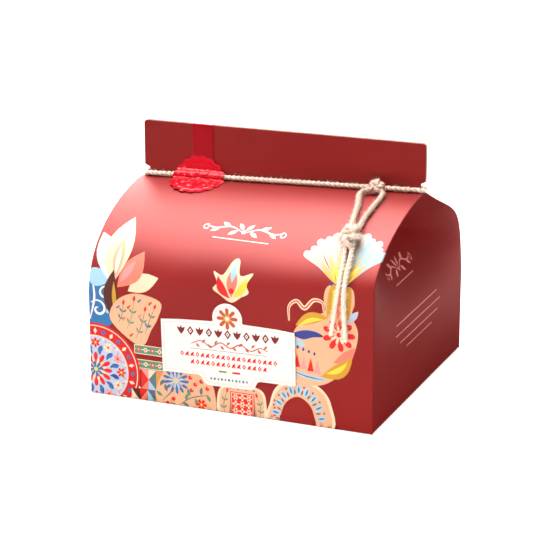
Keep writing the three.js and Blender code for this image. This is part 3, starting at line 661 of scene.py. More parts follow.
class RoofPanel:
    """The front or back panel, from the base over the roof to the ridge, rolled at its folds."""

    def __init__(self, panel):
        self.panel = panel
        self.side = -1 if panel == "front" else 1
        self.columns = np.linspace(0, 1, 33)
        steps = np.linspace(0, 2, 321)
        line = self.ruled(np.repeat(self.columns, len(steps)), np.tile(steps, 33)).reshape(33, len(steps), 3)
        run = np.concatenate(
            [np.zeros((33, 1)), np.cumsum(np.linalg.norm(np.diff(line, axis=1), axis=2), axis=1)], 1)
        self.lengths = run[:, -1]
        self.shares = np.linspace(0, 1, 401)
        self.steps = np.array([np.interp(self.shares * r[-1], r, steps) for r in run])

    def ruled(self, u, t):
        return edge_curve(self.panel, 0, t) * (1 - u)[:, None] + edge_curve(self.panel, 1, t) * u[:, None]

    def length(self, x):
        return np.interp(np.asarray(x) / (2 * HALF_WIDTH) + 0.5, self.columns, self.lengths)

    def step_at(self, u, s):
        share = np.clip(s / np.interp(u, self.columns, self.lengths), 0, 1) * 400
        column = np.clip(u, 0, 1) * 32
        i, j = np.minimum(column.astype(int), 31), np.minimum(share.astype(int), 399)
        f, g = column - i, share - j
        table = self.steps
        low = table[i, j] * (1 - g) + table[i, j + 1] * g
        return low * (1 - f) + (table[i + 1, j] * (1 - g) + table[i + 1, j + 1] * g) * f

    def swell(self, x, s):
        """How far the board bows out or in, as a hand-folded top does."""
        rise = s / self.length(x)
        hold = (1 - (x / HALF_WIDTH) ** 6) * np.sin(np.pi * np.clip(rise, 0, 1)) ** 0.5
        waves = (0.35 * np.sin(x / 31 + self.side) * np.sin(s / 27 + 1)
                 + 0.2 * np.sin(x / 13 + 2) * np.sin(s / 17))
        dent = 0.8 * np.exp(-((x - 101) / 9) ** 2 - ((s - 178) / 16) ** 2)
        return np.clip(hold, 0, 1) * waves - dent

    def surface(self, flat):
        x, s = -self.side * flat[:, 0], flat[:, 1]
        inner = HALF_WIDTH - FOLD
        held, up = np.clip(x, -inner, inner), np.maximum(s, FOLD)
        u = held / (2 * HALF_WIDTH) + 0.5
        t = self.step_at(u, up)
        point = self.ruled(u, t)
        across = unit(edge_curve(self.panel, 1, t) - edge_curve(self.panel, 0, t))
        along = unit(self.ruled(u, np.minimum(t + 0.004, 2)) - self.ruled(u, np.maximum(t - 0.004, 0)))
        outward = unit(np.cross(across, along)) * -self.side
        roll = (np.abs(x) - inner).clip(0) / FOLD
        tuck = (FOLD - s).clip(0) / FOLD
        lift = self.swell(held, up) - FOLD * (1 - np.cos(roll)) - FOLD * (1 - np.cos(tuck))
        return (point + outward * lift[:, None] + across * (np.sign(x) * FOLD * np.sin(roll))[:, None]
                - np.array([0, 0, FOLD]) * np.sin(tuck)[:, None])

    def outline(self):
        side = HALF_WIDTH - FOLD + FOLD * math.pi / 2
        low = FOLD - FOLD * math.pi / 2
        xs = np.linspace(-side, side, 67)
        tops = [(x, float(self.length(np.clip(-self.side * x, -HALF_WIDTH, HALF_WIDTH))) - 0.05)
                for x in xs[::-1]]
        right = [(side, s) for s in np.arange(3.0, tops[0][1] - 2, 3)]
        left = [(-side, s) for s in np.arange(3.0, tops[-1][1] - 2, 3)[::-1]]
        return np.array([(x, low) for x in xs] + right + tops + left)

    def seeds(self):
        folds = HALF_WIDTH - FOLD + FOLD * np.radians([0, 22.5, 45, 67.5])
        xs = np.concatenate([-folds[::-1], np.arange(-108, 109, 6.0), folds])
        rows = np.concatenate([[-0.3, 0.0, 0.3, 0.6, 0.9], np.arange(6, 66, 6.0), np.arange(66, 240, 2.5)])
        return [(x, s) for x in xs for s in rows if s < self.length(np.clip(x * -self.side, -115, 115)) - 1.5]

    def height_at(self, x, y):
        """Height of the outer face over a point of the roof."""
        t = np.linspace(1, 2, 200)
        u = x / (2 * HALF_WIDTH) + 0.5
        line = self.ruled(np.full(len(t), u), t)
        order = np.argsort(line[:, 1])
        return np.interp(y, line[order, 1], line[order, 2])


class EndWall:
    """An end wall that leans in towards an arched crease. u runs from the front corner to the back one."""

    recess, crease_top, lean_from, back_shoulder = 44.0, 127.0, 46.0, 88.0

    def __init__(self, end):
        self.end = end
        self.side = 2 * end - 1
        self.shoulder = (84.0, 106.0)[end]
        self.edges = {}
        for panel in ("front", "back"):
            line = edge_curve(panel, end, np.linspace(0, 2, 400))
            along = unit(np.gradient(line, axis=0) * (0, 1, 1))
            inward = np.stack([np.zeros(400), -along[:, 2], along[:, 1]], 1)
            inward *= np.sign((inward * (np.array([0, 0, 60]) - line)).sum(1))[:, None]
            self.edges[panel] = line + inward * (FOLD + SEAM)

    def crease(self, u):
        """Height and depth of the crease."""
        bulge = 1 - (2 * u - 1) ** 2
        rise = self.crease_top - (self.shoulder + self.back_shoulder) / 2
        height = self.shoulder * (1 - u) + self.back_shoulder * u + rise * bulge
        return height, self.recess * bulge.clip(0) ** 1.6

    def across(self, u, z):
        front, back = self.edges["front"], self.edges["back"]
        y0 = np.interp(np.minimum(z, self.shoulder), front[:, 2], front[:, 1])
        y1 = np.interp(np.minimum(z, self.back_shoulder), back[:, 2], back[:, 1])
        return y0 * (1 - u) + y1 * u

    def surface(self, flat):
        u = np.clip(self.side * flat[:, 0] / (2 * HALF_DEPTH) + 0.5, 0, 1)
        z = np.maximum(flat[:, 1], FOLD)
        height, depth = self.crease(u)
        lean = np.clip((z - self.lean_from) / (height - self.lean_from), 0, 1) ** 2
        tuck = (FOLD - flat[:, 1]).clip(0) / FOLD
        waves = 0.35 * np.sin(np.pi * u) * np.sin(z / 23 + 0.5) * np.sin(flat[:, 0] / 29)
        x = HALF_WIDTH - depth * lean - FOLD * (1 - np.cos(tuck)) - waves.clip(0)
        return np.stack([self.side * x, self.across(u, z), z - FOLD * np.sin(tuck)], 1)

    def outline(self):
        low = FOLD - FOLD * math.pi / 2
        xs = np.linspace(-HALF_DEPTH, HALF_DEPTH, 61)
        tops = [(x, self.crease(np.array(self.side * x / (2 * HALF_DEPTH) + 0.5))[0]) for x in xs[::-1]]
        right = [(HALF_DEPTH, s) for s in np.arange(4.0, tops[0][1] - 2, 4)]
        left = [(-HALF_DEPTH, s) for s in np.arange(4.0, tops[-1][1] - 2, 4)[::-1]]
        return np.array([(x, low) for x in xs] + right + [(x, float(z)) for x, z in tops] + left)

    def seeds(self):
        rows = np.concatenate([[-0.3, 0.0, 0.3, 0.6, 0.9], np.arange(5, 126, 4.0)])
        return [(x, s) for x in np.arange(-99, 100, 5.0) for s in rows
                if s < self.crease(np.array(self.side * x / (2 * HALF_DEPTH) + 0.5))[0] - 1.5]

    def flap(self, panel, columns=40, rows=10):
        """Grid of the flap between the crease and one roof edge."""
        line = self.edges[panel]
        way = 1 if panel == "front" else -1
        inset, bow, clear = 0.006, 1.5, 0.4  # at the wall's corner, inwards at mid-height, beside the fin
        corner = inset if panel == "front" else 1 - inset
        share = np.linspace(0, 1, columns)
        u = corner + (0.5 - corner) * share
        height, depth = self.crease(u)
        bottom = np.stack([self.side * (HALF_WIDTH - depth), self.across(u, height), height + SEAM], 1)
        neck = RIDGE[self.end][1] - way * (FIN_HALF + clear)
        y = bottom[0, 1] + (neck - bottom[0, 1]) * share
        order = np.argsort(line[:, 1])
        top = np.stack([np.full(columns, self.side * (HALF_WIDTH - SEAM)), y,
                        np.interp(y, line[order, 1], line[order, 2])], 1)
        drift = np.linspace(0, self.side * (abs(RIDGE[self.end][0]) - HALF_WIDTH), columns)
        top[:, 0] += drift
        v = np.linspace(0, 1, rows)[:, None, None]
        grid = bottom * (1 - v) + top * v
        grid[..., 0] -= self.side * bow * np.sin(np.pi * v[..., 0]) * np.sin(np.pi * share)
        return grid


def fin_frame(points):
    """Points given along, across and above the ridge, in the carton's own axes."""
    way = unit((RIDGE[1] - RIDGE[0]) * (1, 1, 0))
    across = np.array([-way[1], way[0], 0])
    middle = RIDGE.mean(0) * (1, 1, 0)
    return middle + points[..., :1] * way + points[..., 1:2] * across + points[..., 2:] * np.array([0, 0, 1])


RIDGE_LENGTH = float(np.linalg.norm((RIDGE[1] - RIDGE[0])[:2]))


def ridge_height(x):
    """Height of the ridge at a place along it."""
    return RIDGE[0][2] + (RIDGE[1][2] - RIDGE[0][2]) * (x / RIDGE_LENGTH + 0.5)


def fin_wave(x, z):
    """How far the fin's plies bow to the back."""
    return 0.28 * np.sin(x / 34 + 0.6) * np.clip((z - 158) / 20, 0, 1)


FIN_ENDS = (-112.6, 115.2)
NECK_ENDS = (FIN_ENDS[0] + 4.2, FIN_ENDS[1] - 4.2)
NECK_HEIGHT = 6.5


def fin_outline():
    """A ply's rim along and above the ridge: a neck for the cord, small shoulders and rounded top corners."""
    left, right = FIN_ENDS
    a, b = NECK_ENDS
    step_a, step_b = ridge_height(a) + NECK_HEIGHT, ridge_height(b) + NECK_HEIGHT
    r, rise = 2.5, 2  # corner radius and the shoulders' slant
    foot = [(x, ridge_height(x) + 0.1) for x in np.linspace(a, b, 60)]
    top = [(x, FIN_TOP) for x in np.linspace(right - r, left + r, 60)]
    round_right = [(right - r + r * math.cos(q), FIN_TOP - r + r * math.sin(q)) for q in (0, 0.5, 1.05)]
    round_left = [(left + r - r * math.sin(q), FIN_TOP - r + r * math.cos(q)) for q in (0.5, 1.05, 1.57)]
    shoulders = [(b, step_b), (right, step_b + rise)], [(left, step_a + rise), (a, step_a)]
    return foot + shoulders[0] + round_right + top + round_left + shoulders[1]


# ---------------------------------------------------------------- what grows on a surface


def node_group(name, sizes):
    """A geometry node tree with a named input for each size, and its input node's outputs."""
    tree = bpy.data.node_groups.new(name, "GeometryNodeTree")
    tree.interface.new_socket("Geometry", in_out="INPUT", socket_type="NodeSocketGeometry")
    for key, (kind, value) in sizes.items():
        socket = tree.interface.new_socket(key, in_out="INPUT", socket_type="NodeSocket" + kind)
        if value is not None:
            socket.default_value = value
    tree.interface.new_socket("Geometry", in_out="OUTPUT", socket_type="NodeSocketGeometry")
    return tree, add(tree, "NodeGroupInput").outputs


def ended(tree, source, *parts):
    """Joins the parts and ends the tree in Realize Instances and Set Material."""
    joined = add(tree, "GeometryNodeJoinGeometry")
    for part in parts:
        tree.links.new(part, joined.inputs["Geometry"])
    real = add(tree, "GeometryNodeRealizeInstances", {"Geometry": joined.outputs["Geometry"]})
    clad = add(tree, "GeometryNodeSetMaterial", {"Geometry": real.outputs["Geometry"],
                                                 "Material": source["Material"]})
    add(tree, "NodeGroupOutput", {"Geometry": clad.outputs["Geometry"]})
    return tree


def fibre_tree(name):
    """Short bent fibres that stand off a surface, each turned and scaled at random from the seed."""
    tree, source = node_group(name, {"Density": ("Float", 1e6), "Length": ("Float", 1.0),
                                     "Thickness": ("Float", 0.00005), "Seed": ("Int", 1),
                                     "Material": ("Material", None)})
    points = add(tree, "GeometryNodeDistributePointsOnFaces",
                 {"Mesh": source["Geometry"], "Density": source["Density"], "Seed": source["Seed"]}).outputs
    arc = add(tree, "GeometryNodeCurveQuadraticBezier", {"Resolution": 3, "Start": (0, 0, -0.0002),
                                                         "Middle": (0.0007, 0, 0.0005),
                                                         "End": (0.0017, 0.0002, 0.0006)}).outputs["Curve"]
    round_line = add(tree, "GeometryNodeCurvePrimitiveCircle",
                     {"Resolution": 3, "Radius": source["Thickness"]})
    hair = add(tree, "GeometryNodeCurveToMesh",
               {"Curve": arc, "Profile Curve": round_line.outputs["Curve"]}).outputs["Mesh"]
    lean = add(tree, "FunctionNodeRandomValue", {"Min": (-0.35, -0.35, 0), "Max": (0.35, 0.35, 6.283),
                                                 "Seed": source["Seed"]},
               data_type="FLOAT_VECTOR").outputs["Value"]
    turned = add(tree, "FunctionNodeRotateRotation", {"Rotation": points["Rotation"], "Rotate By": lean},
                 rotation_space="LOCAL").outputs["Rotation"]
    tall = add(tree, "FunctionNodeRandomValue", {2: 0.4, 3: 1.25, "Seed": source["Seed"]},
               data_type="FLOAT").outputs[1]
    size = add(tree, "ShaderNodeMath", {0: tall, 1: source["Length"]}, operation="MULTIPLY").outputs["Value"]
    hairs = add(tree, "GeometryNodeInstanceOnPoints", {"Points": points["Points"], "Instance": hair,
                                                       "Rotation": turned,
                                                       "Scale": size}).outputs["Instances"]
    return ended(tree, source, source["Geometry"], hairs)


def grown(piece, name, maker, sizes):
    """Runs a node group on a piece and keeps the result as its plain mesh."""
    tree = bpy.data.node_groups.get(name) or maker(name)
    modifier = piece.modifiers.new(name, "NODES")
    modifier.node_group = tree
    for item in tree.interface.items_tree:
        if item.item_type == "SOCKET" and item.in_out == "INPUT" and item.name in sizes:
            modifier[item.identifier] = sizes[item.name]
    bpy.context.view_layer.update()
    mesh = bpy.data.meshes.new_from_object(piece.evaluated_get(bpy.context.evaluated_depsgraph_get()))
    piece.modifiers.remove(modifier)
    piece.data = mesh


# ---------------------------------------------------------------- twisted cord


def even_path(points, step):
    """A smooth path through the points, at even steps."""
    line = spline(points, 12, closed=False)
    run = np.concatenate([[0], np.cumsum(np.linalg.norm(np.diff(line, axis=0), axis=1))])
    at = np.linspace(0, run[-1], max(int(run[-1] / step), 6) + 1)
    return np.stack([np.interp(at, run, line[:, i]) for i in range(line.shape[1])], 1), at


def rope(name, points, diameter, material, lay=11.5, step=0.7, start=0.0, ends=(1.0, 1.0), closed=False,
         fibres=0.9):
    """A three-strand cord along a path, and the path. ends widens an end (above 1) where the lay opens up."""
    path, run = even_path(points, step)
    if closed:
        path, run = path[:-1], run[:-1]
    tangents = unit(np.roll(path, -1, 0) - np.roll(path, 1, 0)) if closed else unit(np.gradient(path, axis=0))
    side = unit(np.cross(tangents[0], (0.3, 0.5, 0.8)))
    sides = []
    for tangent in tangents:
        side = unit(side - tangent * (side @ tangent))
        sides.append(side)
    sides = np.array(sides)
    ups = np.cross(tangents, sides)
    count, rows = 33, len(path)
    around = np.arange(count) / count * 2 * math.pi
    lobe = np.mod(around, 2 * math.pi / 3) - math.pi / 3
    offset, strand, valley = 0.536, 0.464, 0.58  # a strand's place and radius, and a furrow's, in radii
    reach = offset * np.cos(lobe) + np.sqrt((strand**2 - (offset * np.sin(lobe)) ** 2).clip(0))
    section = (0.2 + 0.8 * np.maximum(reach, valley)) * diameter / 2
    turn = start + 2 * math.pi * run[:, None] / lay + around
    width = 1 + 0.04 * np.sin(run * 0.83 + start) + 0.035 * np.sin(run * 2.1 + 2 * start)
    if not closed:
        left, right = run, run[-1] - run
        flare, dome = 1.8, 0.32 * diameter  # how far an end's flare and its rounding reach
        width *= 1 + (ends[0] - 1) * np.exp(-left / flare) + (ends[1] - 1) * np.exp(-right / flare)
        cap = np.minimum(left, right) / dome
        width *= np.sqrt(1 - (1 - np.clip(cap, 0.06, 1)) ** 2)
    ways = np.cos(turn)[..., None] * sides[:, None] + np.sin(turn)[..., None] * ups[:, None]
    rings = path[:, None] + ways * (section[None, :] * width[:, None])[..., None]
    i, j = np.meshgrid(np.arange(rows if closed else rows - 1), np.arange(count), indexing="ij")
    k, n = (i + 1) % rows, (j + 1) % count
    faces = np.stack([i * count + j, i * count + n, k * count + n, k * count + j], -1).reshape(-1, 4).tolist()
    uvs = np.stack([np.stack([j, j + 1, j + 1, j], -1) / count,
                    np.stack([run[i], run[i], run[i] + step, run[i] + step], -1) / lay], -1).reshape(-1, 2)
    vertices = rings.reshape(-1, 3)
    if not closed:
        vertices = np.vstack([vertices, path[:1], path[-1:]])
        first, last = rows * count, rows * count + 1
        faces += [[first, (q + 1) % count, q] for q in range(count)]
        faces += [[last, (rows - 1) * count + q, (rows - 1) * count + (q + 1) % count] for q in range(count)]
        uvs = np.vstack([uvs, np.zeros((6 * count, 2))])
    mesh = bpy.data.meshes.new(name)
    mesh.from_pydata((vertices * MM).tolist(), [], faces)
    mesh.uv_layers.new(name="lay").data.foreach_set("uv", uvs.ravel())
    mesh.polygons.foreach_set("use_smooth", np.ones(len(faces), bool))
    piece = placed(name, mesh, material)
    sizes = {"Density": fibres / MM**2, "Length": 1.2, "Thickness": 0.05 * MM, "Seed": int(7 + 10 * start)}
    grown(piece, "loose fibres", fibre_tree, {**sizes, "Material": material})
    return piece, path


def knot_line(centre, size, tilt, turn, lobes=5):
    """A tight knot: a closed line that winds twice and crosses itself at each lobe."""
    t = np.arange(12 * lobes) / (12 * lobes) * 2 * math.pi
    reach, angle = (2 + np.cos(lobes * t)) / 3, 2 * t + turn
    x, y, z = reach * np.cos(angle) * size[0], reach * np.sin(angle) * size[1], -np.sin(lobes * t) * size[2]
    return np.asarray(centre) + np.stack([x, y * math.cos(tilt) - z * math.sin(tilt),
                                          y * math.sin(tilt) + z * math.cos(tilt)], 1)


# ---------------------------------------------------------------- materials


def add(tree, kind, inputs=(), **settings):
    """A node with its settings; inputs maps socket names to values or to other nodes' outputs."""
    node = tree.nodes.new(kind)
    for key, value in settings.items():
        setattr(node, key, value)
    for socket, value in dict(inputs).items():
        if isinstance(value, bpy.types.NodeSocket):
            tree.links.new(value, node.inputs[socket])
        else:
            node.inputs[socket].default_value = value
    return node


def new_material(name):
    """An empty node material and its tree."""
    material = bpy.data.materials.new(name)
    material.use_nodes = True
    material.node_tree.nodes.clear()
    return material, material.node_tree


def surfaced(tree, **inputs):
    """Ends a material in one principled shader."""
    shader = add(tree, "ShaderNodeBsdfPrincipled", {key.replace("_", " "): value for key,
                                                    value in inputs.items()})
    add(tree, "ShaderNodeOutputMaterial", {"Surface": shader.outputs["BSDF"]})


def grain(tree, size, detail=2.0, stretch=(1, 1, 1)):
    """Noise whose pattern is about size millimetres across."""
    where = add(tree, "ShaderNodeTexCoord").outputs["Object"]
    spread = add(tree, "ShaderNodeMapping", {"Vector": where, "Scale": stretch}).outputs["Vector"]
    return add(tree, "ShaderNodeTexNoise", {"Vector": spread, "Scale": 1 / (size * MM),
                                            "Detail": detail}).outputs["Fac"]


def mottle(tree, size, low, high, start=0.3, end=0.7, **looks):
    """Clouds about size millimetres across, as a value that wanders from low to high."""
    return add(tree, "ShaderNodeMapRange", {"Value": grain(tree, size, **looks), "From Min": start,
                                            "From Max": end, "To Min": low,
                                            "To Max": high}).outputs["Result"]


def relief(tree, size, depth, detail=2.0, under=None):
    """Bumps about size millimetres across and depth millimetres high, over any that are under them."""
    inputs = {"Height": grain(tree, size, detail), "Distance": depth * MM}
    if under:
        inputs["Normal"] = under
    return add(tree, "ShaderNodeBump", inputs).outputs["Normal"]


def dyed(tree, colour, tone):
    """One colour, made lighter and darker by a value."""
    tint = add(tree, "ShaderNodeRGB")
    tint.outputs[0].default_value = (*colour, 1)
    return add(tree, "ShaderNodeVectorMath", {0: tint.outputs[0], 1: tone},
               operation="MULTIPLY").outputs["Vector"]


def pearl_board():
    """Folding board printed pearlescent red under a satin varnish: a broad pink-white sheen over deep red."""
    material, tree = new_material("pearl board")
    ink = add(tree, "ShaderNodeAttribute", attribute_name="ink").outputs["Color"]
    pearl = add(tree, "ShaderNodeAttribute", attribute_name="pearl").outputs["Fac"]
    tone = {0: ink, 1: mottle(tree, 45, 0.95, 1.05)}
    glint = add(tree, "ShaderNodeMapRange", {"Value": pearl, "To Min": 0.0, "To Max": 0.2}).outputs["Result"]
    blur = add(tree, "ShaderNodeMapRange", {"Value": pearl, "To Min": 0.7, "To Max": 0.5}).outputs["Result"]
    uneven = {0: blur, 1: mottle(tree, 9, -0.03, 0.03, 0.0, 1.0)}
    # The board's fibres are finer than half a millimetre; they are drawn that coarse so that they show.
    surfaced(tree, Base_Color=add(tree, "ShaderNodeVectorMath", tone, operation="MULTIPLY").outputs["Vector"],
             Metallic=glint, Roughness=add(tree, "ShaderNodeMath", uneven, operation="ADD").outputs["Value"],
             Specular_IOR_Level=0.0, Coat_Weight=0.55, Coat_IOR=1.8, Coat_Roughness=0.55,
             Normal=relief(tree, 0.5, 0.012, under=relief(tree, 5, 0.045, 1.0)))
    return material


def plain_board():
    """The unprinted side of folding board: grey-white, matt and fibrous."""
    material, tree = new_material("fibre board")
    fibres = mottle(tree, 1.5, 0.9, 1.08, detail=4.0, stretch=(1, 1, 3))
    surfaced(tree, Base_Color=dyed(tree, INKS["lining"], fibres), Roughness=0.85,
             Normal=relief(tree, 0.6, 0.02))
    return material


def linen_paper():
    """Label paper pressed with a linen weave: soft and matt, with crossing threads."""
    material, tree = new_material("linen paper")
    ink = add(tree, "ShaderNodeAttribute", attribute_name="ink").outputs["Color"]
    where = add(tree, "ShaderNodeTexCoord").outputs["Object"]
    # Bands of this scale lie 1.4 mm apart. The real threads are about half that, too fine to show.
    band = {"Vector": where, "Scale": 1 / (4.4 * MM), "Distortion": 1.6, "Detail": 1.0, "Detail Scale": 3.0}
    threads = [add(tree, "ShaderNodeTexWave", band, bands_direction=way).outputs["Fac"] for way in "XZ"]
    weave = add(tree, "ShaderNodeMath", {0: threads[0], 1: threads[1]}, operation="ADD").outputs["Value"]
    tone = add(tree, "ShaderNodeMapRange", {"Value": weave, "From Min": 0.2, "From Max": 1.8, "To Min": 0.94,
                                            "To Max": 1.03}).outputs["Result"]
    surfaced(tree, Base_Color=add(tree, "ShaderNodeVectorMath", {0: ink, 1: tone},
                                  operation="MULTIPLY").outputs["Vector"], Roughness=0.8,
             Specular_IOR_Level=0.25, Normal=add(tree, "ShaderNodeBump",
                                                 {"Height": weave,
                                                  "Distance": 0.035 * MM}).outputs["Normal"])
    return material


def red_foil():
    """Glossy red sealing film: sharp highlights on every crease."""
    material, tree = new_material("red sealing film")
    ink = add(tree, "ShaderNodeAttribute", attribute_name="ink").outputs["Color"]
    surfaced(tree, Base_Color=ink, Metallic=0.2, Roughness=mottle(tree, 8, 0.17, 0.26),
             Specular_IOR_Level=0.45, Normal=relief(tree, 6, 0.1))
    return material


def cotton(name="twisted cotton", shade="ivory"):
    """Soft twisted cotton: ivory fibres that lie along each strand and scatter light at the edges."""
    material, tree = new_material(name)
    along = add(tree, "ShaderNodeUVMap", uv_map="lay").outputs["UV"]
    # 26 streaks round the cord, each a third of a twist long: the fibres are finer than that.
    spread = add(tree, "ShaderNodeMapping", {"Vector": along, "Scale": (26, 3.2, 1)}).outputs["Vector"]
    fibres = add(tree, "ShaderNodeTexNoise", {"Vector": spread, "Scale": 1.0, "Detail": 3.0}).outputs["Fac"]
    streaks = add(tree, "ShaderNodeMapRange", {"Value": fibres, "From Min": 0.32, "From Max": 0.62,
                                               "To Min": 0.8, "To Max": 1.12}).outputs["Result"]
    tone = add(tree, "ShaderNodeMath", {0: streaks, 1: mottle(tree, 14, 0.95, 1.05)}, operation="MULTIPLY")
    surfaced(
        tree, Base_Color=dyed(tree, getattr(bpy.context.scene.carton_cord, shade), tone.outputs["Value"]),
        Roughness=0.9, Specular_IOR_Level=0.2, Sheen_Weight=0.35, Sheen_Roughness=0.5,
        Normal=add(tree, "ShaderNodeBump", {"Height": fibres, "Distance": 0.35 * MM}).outputs["Normal"])
    return material


def shaded_cotton():
    """The same cotton, a little darker and blush beige: painted shade for the knots and the strands between
    them.
    """
    return cotton("shaded cotton", "blush")


def baked_crust():
    """Baked crust: brown, uneven and dull with a slight glaze."""
    material, tree = new_material("baked crust")
    shades = {"Factor": mottle(tree, 18, 0, 1, 0.35, 0.65, detail=5.0), "A": (*linear("A5632A"), 1),
              "B": (*linear("5E2C12"), 1)}
    brown = add(tree, "ShaderNodeMix", shades, data_type="RGBA").outputs["Result"]
    surfaced(tree, Base_Color=brown, Roughness=0.7, Normal=relief(tree, 4, 0.8, 5.0))
    return material


MOULD_RIBS = 200.0  # round the mould, about 3 mm apart


def mould_paper():
    """Brown corrugated baking paper: matt with fine upright ribs."""
    material, tree = new_material("baking paper")
    where = add(tree, "ShaderNodeTexCoord").outputs["Object"]
    sides = add(tree, "ShaderNodeSeparateXYZ", {"Vector": where}).outputs
    angle = add(tree, "ShaderNodeMath", {0: sides["Y"], 1: sides["X"]}, operation="ARCTAN2").outputs["Value"]
    turned = add(tree, "ShaderNodeMath", {0: angle, 1: MOULD_RIBS}, operation="MULTIPLY").outputs["Value"]
    ribs = add(tree, "ShaderNodeMath", {0: turned}, operation="SINE").outputs["Value"]
    surfaced(tree, Base_Color=dyed(tree, linear("6B4428"), mottle(tree, 3, 0.85, 1.1)), Roughness=0.85,
             Normal=add(tree, "ShaderNodeBump", {"Height": ribs, "Distance": 0.3 * MM}).outputs["Normal"])
    return material


def clear_film():
    """Clear crinkled film: see-through with small sharp highlights."""
    material, tree = new_material("clear film")
    surfaced(tree, Base_Color=(0.95, 0.96, 0.97, 1), Roughness=0.06, Alpha=0.25,
             Normal=relief(tree, 14, 1.5, 3.0))
    return material


def brass_wire():
    """Brass-coloured wire tie: a bright metal with a slight brushed grain."""
    material, tree = new_material("brass wire")
    surfaced(tree, Base_Color=(*linear("C9A24A"), 1), Metallic=1.0,
             Roughness=mottle(tree, 1.5, 0.25, 0.4, 0.0, 1.0))
    return material


def studio_floor():
    """A white sweep that reads as plain paper."""
    material, tree = new_material("studio floor")
    seen = add(tree, "ShaderNodeLightPath").outputs["Is Camera Ray"]
    glow = add(tree, "ShaderNodeMapRange", {"Value": seen, "To Min": 0.0, "To Max": 0.9}).outputs["Result"]
    surfaced(tree, Base_Color=(0.38, 0.38, 0.38, 1), Roughness=0.9, Specular_IOR_Level=0.1,
             Emission_Color=(1, 1, 1, 1), Emission_Strength=glow)
    return material


MATERIALS = {}


def material(maker):
    """The material that a maker function gives, made once."""
    if maker.__name__ not in MATERIALS:
        MATERIALS[maker.__name__] = maker()
    return MATERIALS[maker.__name__]


def clad(node, slot, maker):
    """Gives a frame node that keeps its shape its finish."""
    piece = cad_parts[node]
    piece.data.materials.clear()
    piece.data.materials.append(material(maker))


# ---------------------------------------------------------------- settings


def colour_setting(name, description, colour):
    """A colour as a setting."""
    return FloatVectorProperty(name=name, description=description, subtype="COLOR", size=3, min=0, max=1,
                               default=colour)


def power(name, what, watts):
    """A lamp's power as a setting."""
    return FloatProperty(name=name, description=f"Power of {what} in watts", default=watts, min=0)


class CartonStageSettings(bpy.types.PropertyGroup):
    """The camera and the studio light"""

    azimuth: FloatProperty(name="Azimuth", description="Camera's turn round the carton", unit="ROTATION",
                           default=math.radians(22.3947))
    elevation: FloatProperty(name="Elevation", description="Camera's height above the horizon",
                             unit="ROTATION", default=math.radians(18.0311))
    lens: FloatProperty(name="Lens", description="Focal length in millimetres", default=150.55)
    distance: FloatProperty(name="Distance", description="Camera to aim", default=1.816241, unit="LENGTH")
    shift_right: FloatProperty(name="Aim right", description="Aim to the right of the axis", unit="LENGTH",
                               default=-0.004131)
    shift_up: FloatProperty(name="Aim up", description="Aim above the base", default=0.074249, unit="LENGTH")
    sky: FloatProperty(name="Sky", description="Brightness of the surroundings", default=0.08, min=0)
    panel_power: power("Light", "the overhead panel", 98.0)
    back_power: power("Back light", "the back panel, which only reflections see,", 80.0)
    card_power: power("Front card", "the front card", 2.5)
    side_power: power("Side light", "the side panel", 15.0)
    floor_power: power("Floor card", "the floor card, which only reflections see,", 4.0)
    panel_size: FloatVectorProperty(name="Light size", description="Width and depth of the overhead panel",
                                    size=2, default=(1.5, 2.2), unit="LENGTH")


class CartonCordSettings(bpy.types.PropertyGroup):
    """The cord's sizes and colours"""

    diameter: FloatProperty(name="Diameter", description="Cord's diameter", default=0.0042, unit="LENGTH")
    lay: FloatProperty(name="Lay", description="Length of one full twist", default=0.0115, unit="LENGTH")
    ivory: colour_setting("Cord", "Colour of the cord", COTTON["ivory"])
    # The knots' and strands' colour is a darker copy of the cord's: painted shade.
    blush: colour_setting("Shaded cord", "Colour of the knots and the strands between them", COTTON["blush"])


class CartonBoardSettings(bpy.types.PropertyGroup):
    """The board's thickness and ground colour"""

    thickness: FloatProperty(name="Board", description="Thickness of the board", default=float(BOARD) * MM,
                             unit="LENGTH")
    red: colour_setting("Ground", "Colour that the board is printed all over", INKS["red"])


class CartonTrimSettings(bpy.types.PropertyGroup):
    """The label's and the seal's sizes, and the seal's colour"""

    label_thickness: FloatProperty(name="Label", description="Thickness of the label", default=0.0003,
                                   unit="LENGTH")
    seal_radius: FloatProperty(name="Seal radius", description="Radius of the seal", default=0.021,
                               unit="LENGTH")
    seal_scallops: IntProperty(name="Scallops", description="Scallops round the seal", default=17, min=3)
    seal_red: colour_setting("Seal", "Colour of the seal", INKS["seal"])


SETTINGS = {
    "carton_stage": CartonStageSettings,
    "carton_cord": CartonCordSettings,
    "carton_board": CartonBoardSettings,
    "carton_trim": CartonTrimSettings,
}


# ---------------------------------------------------------------- operators


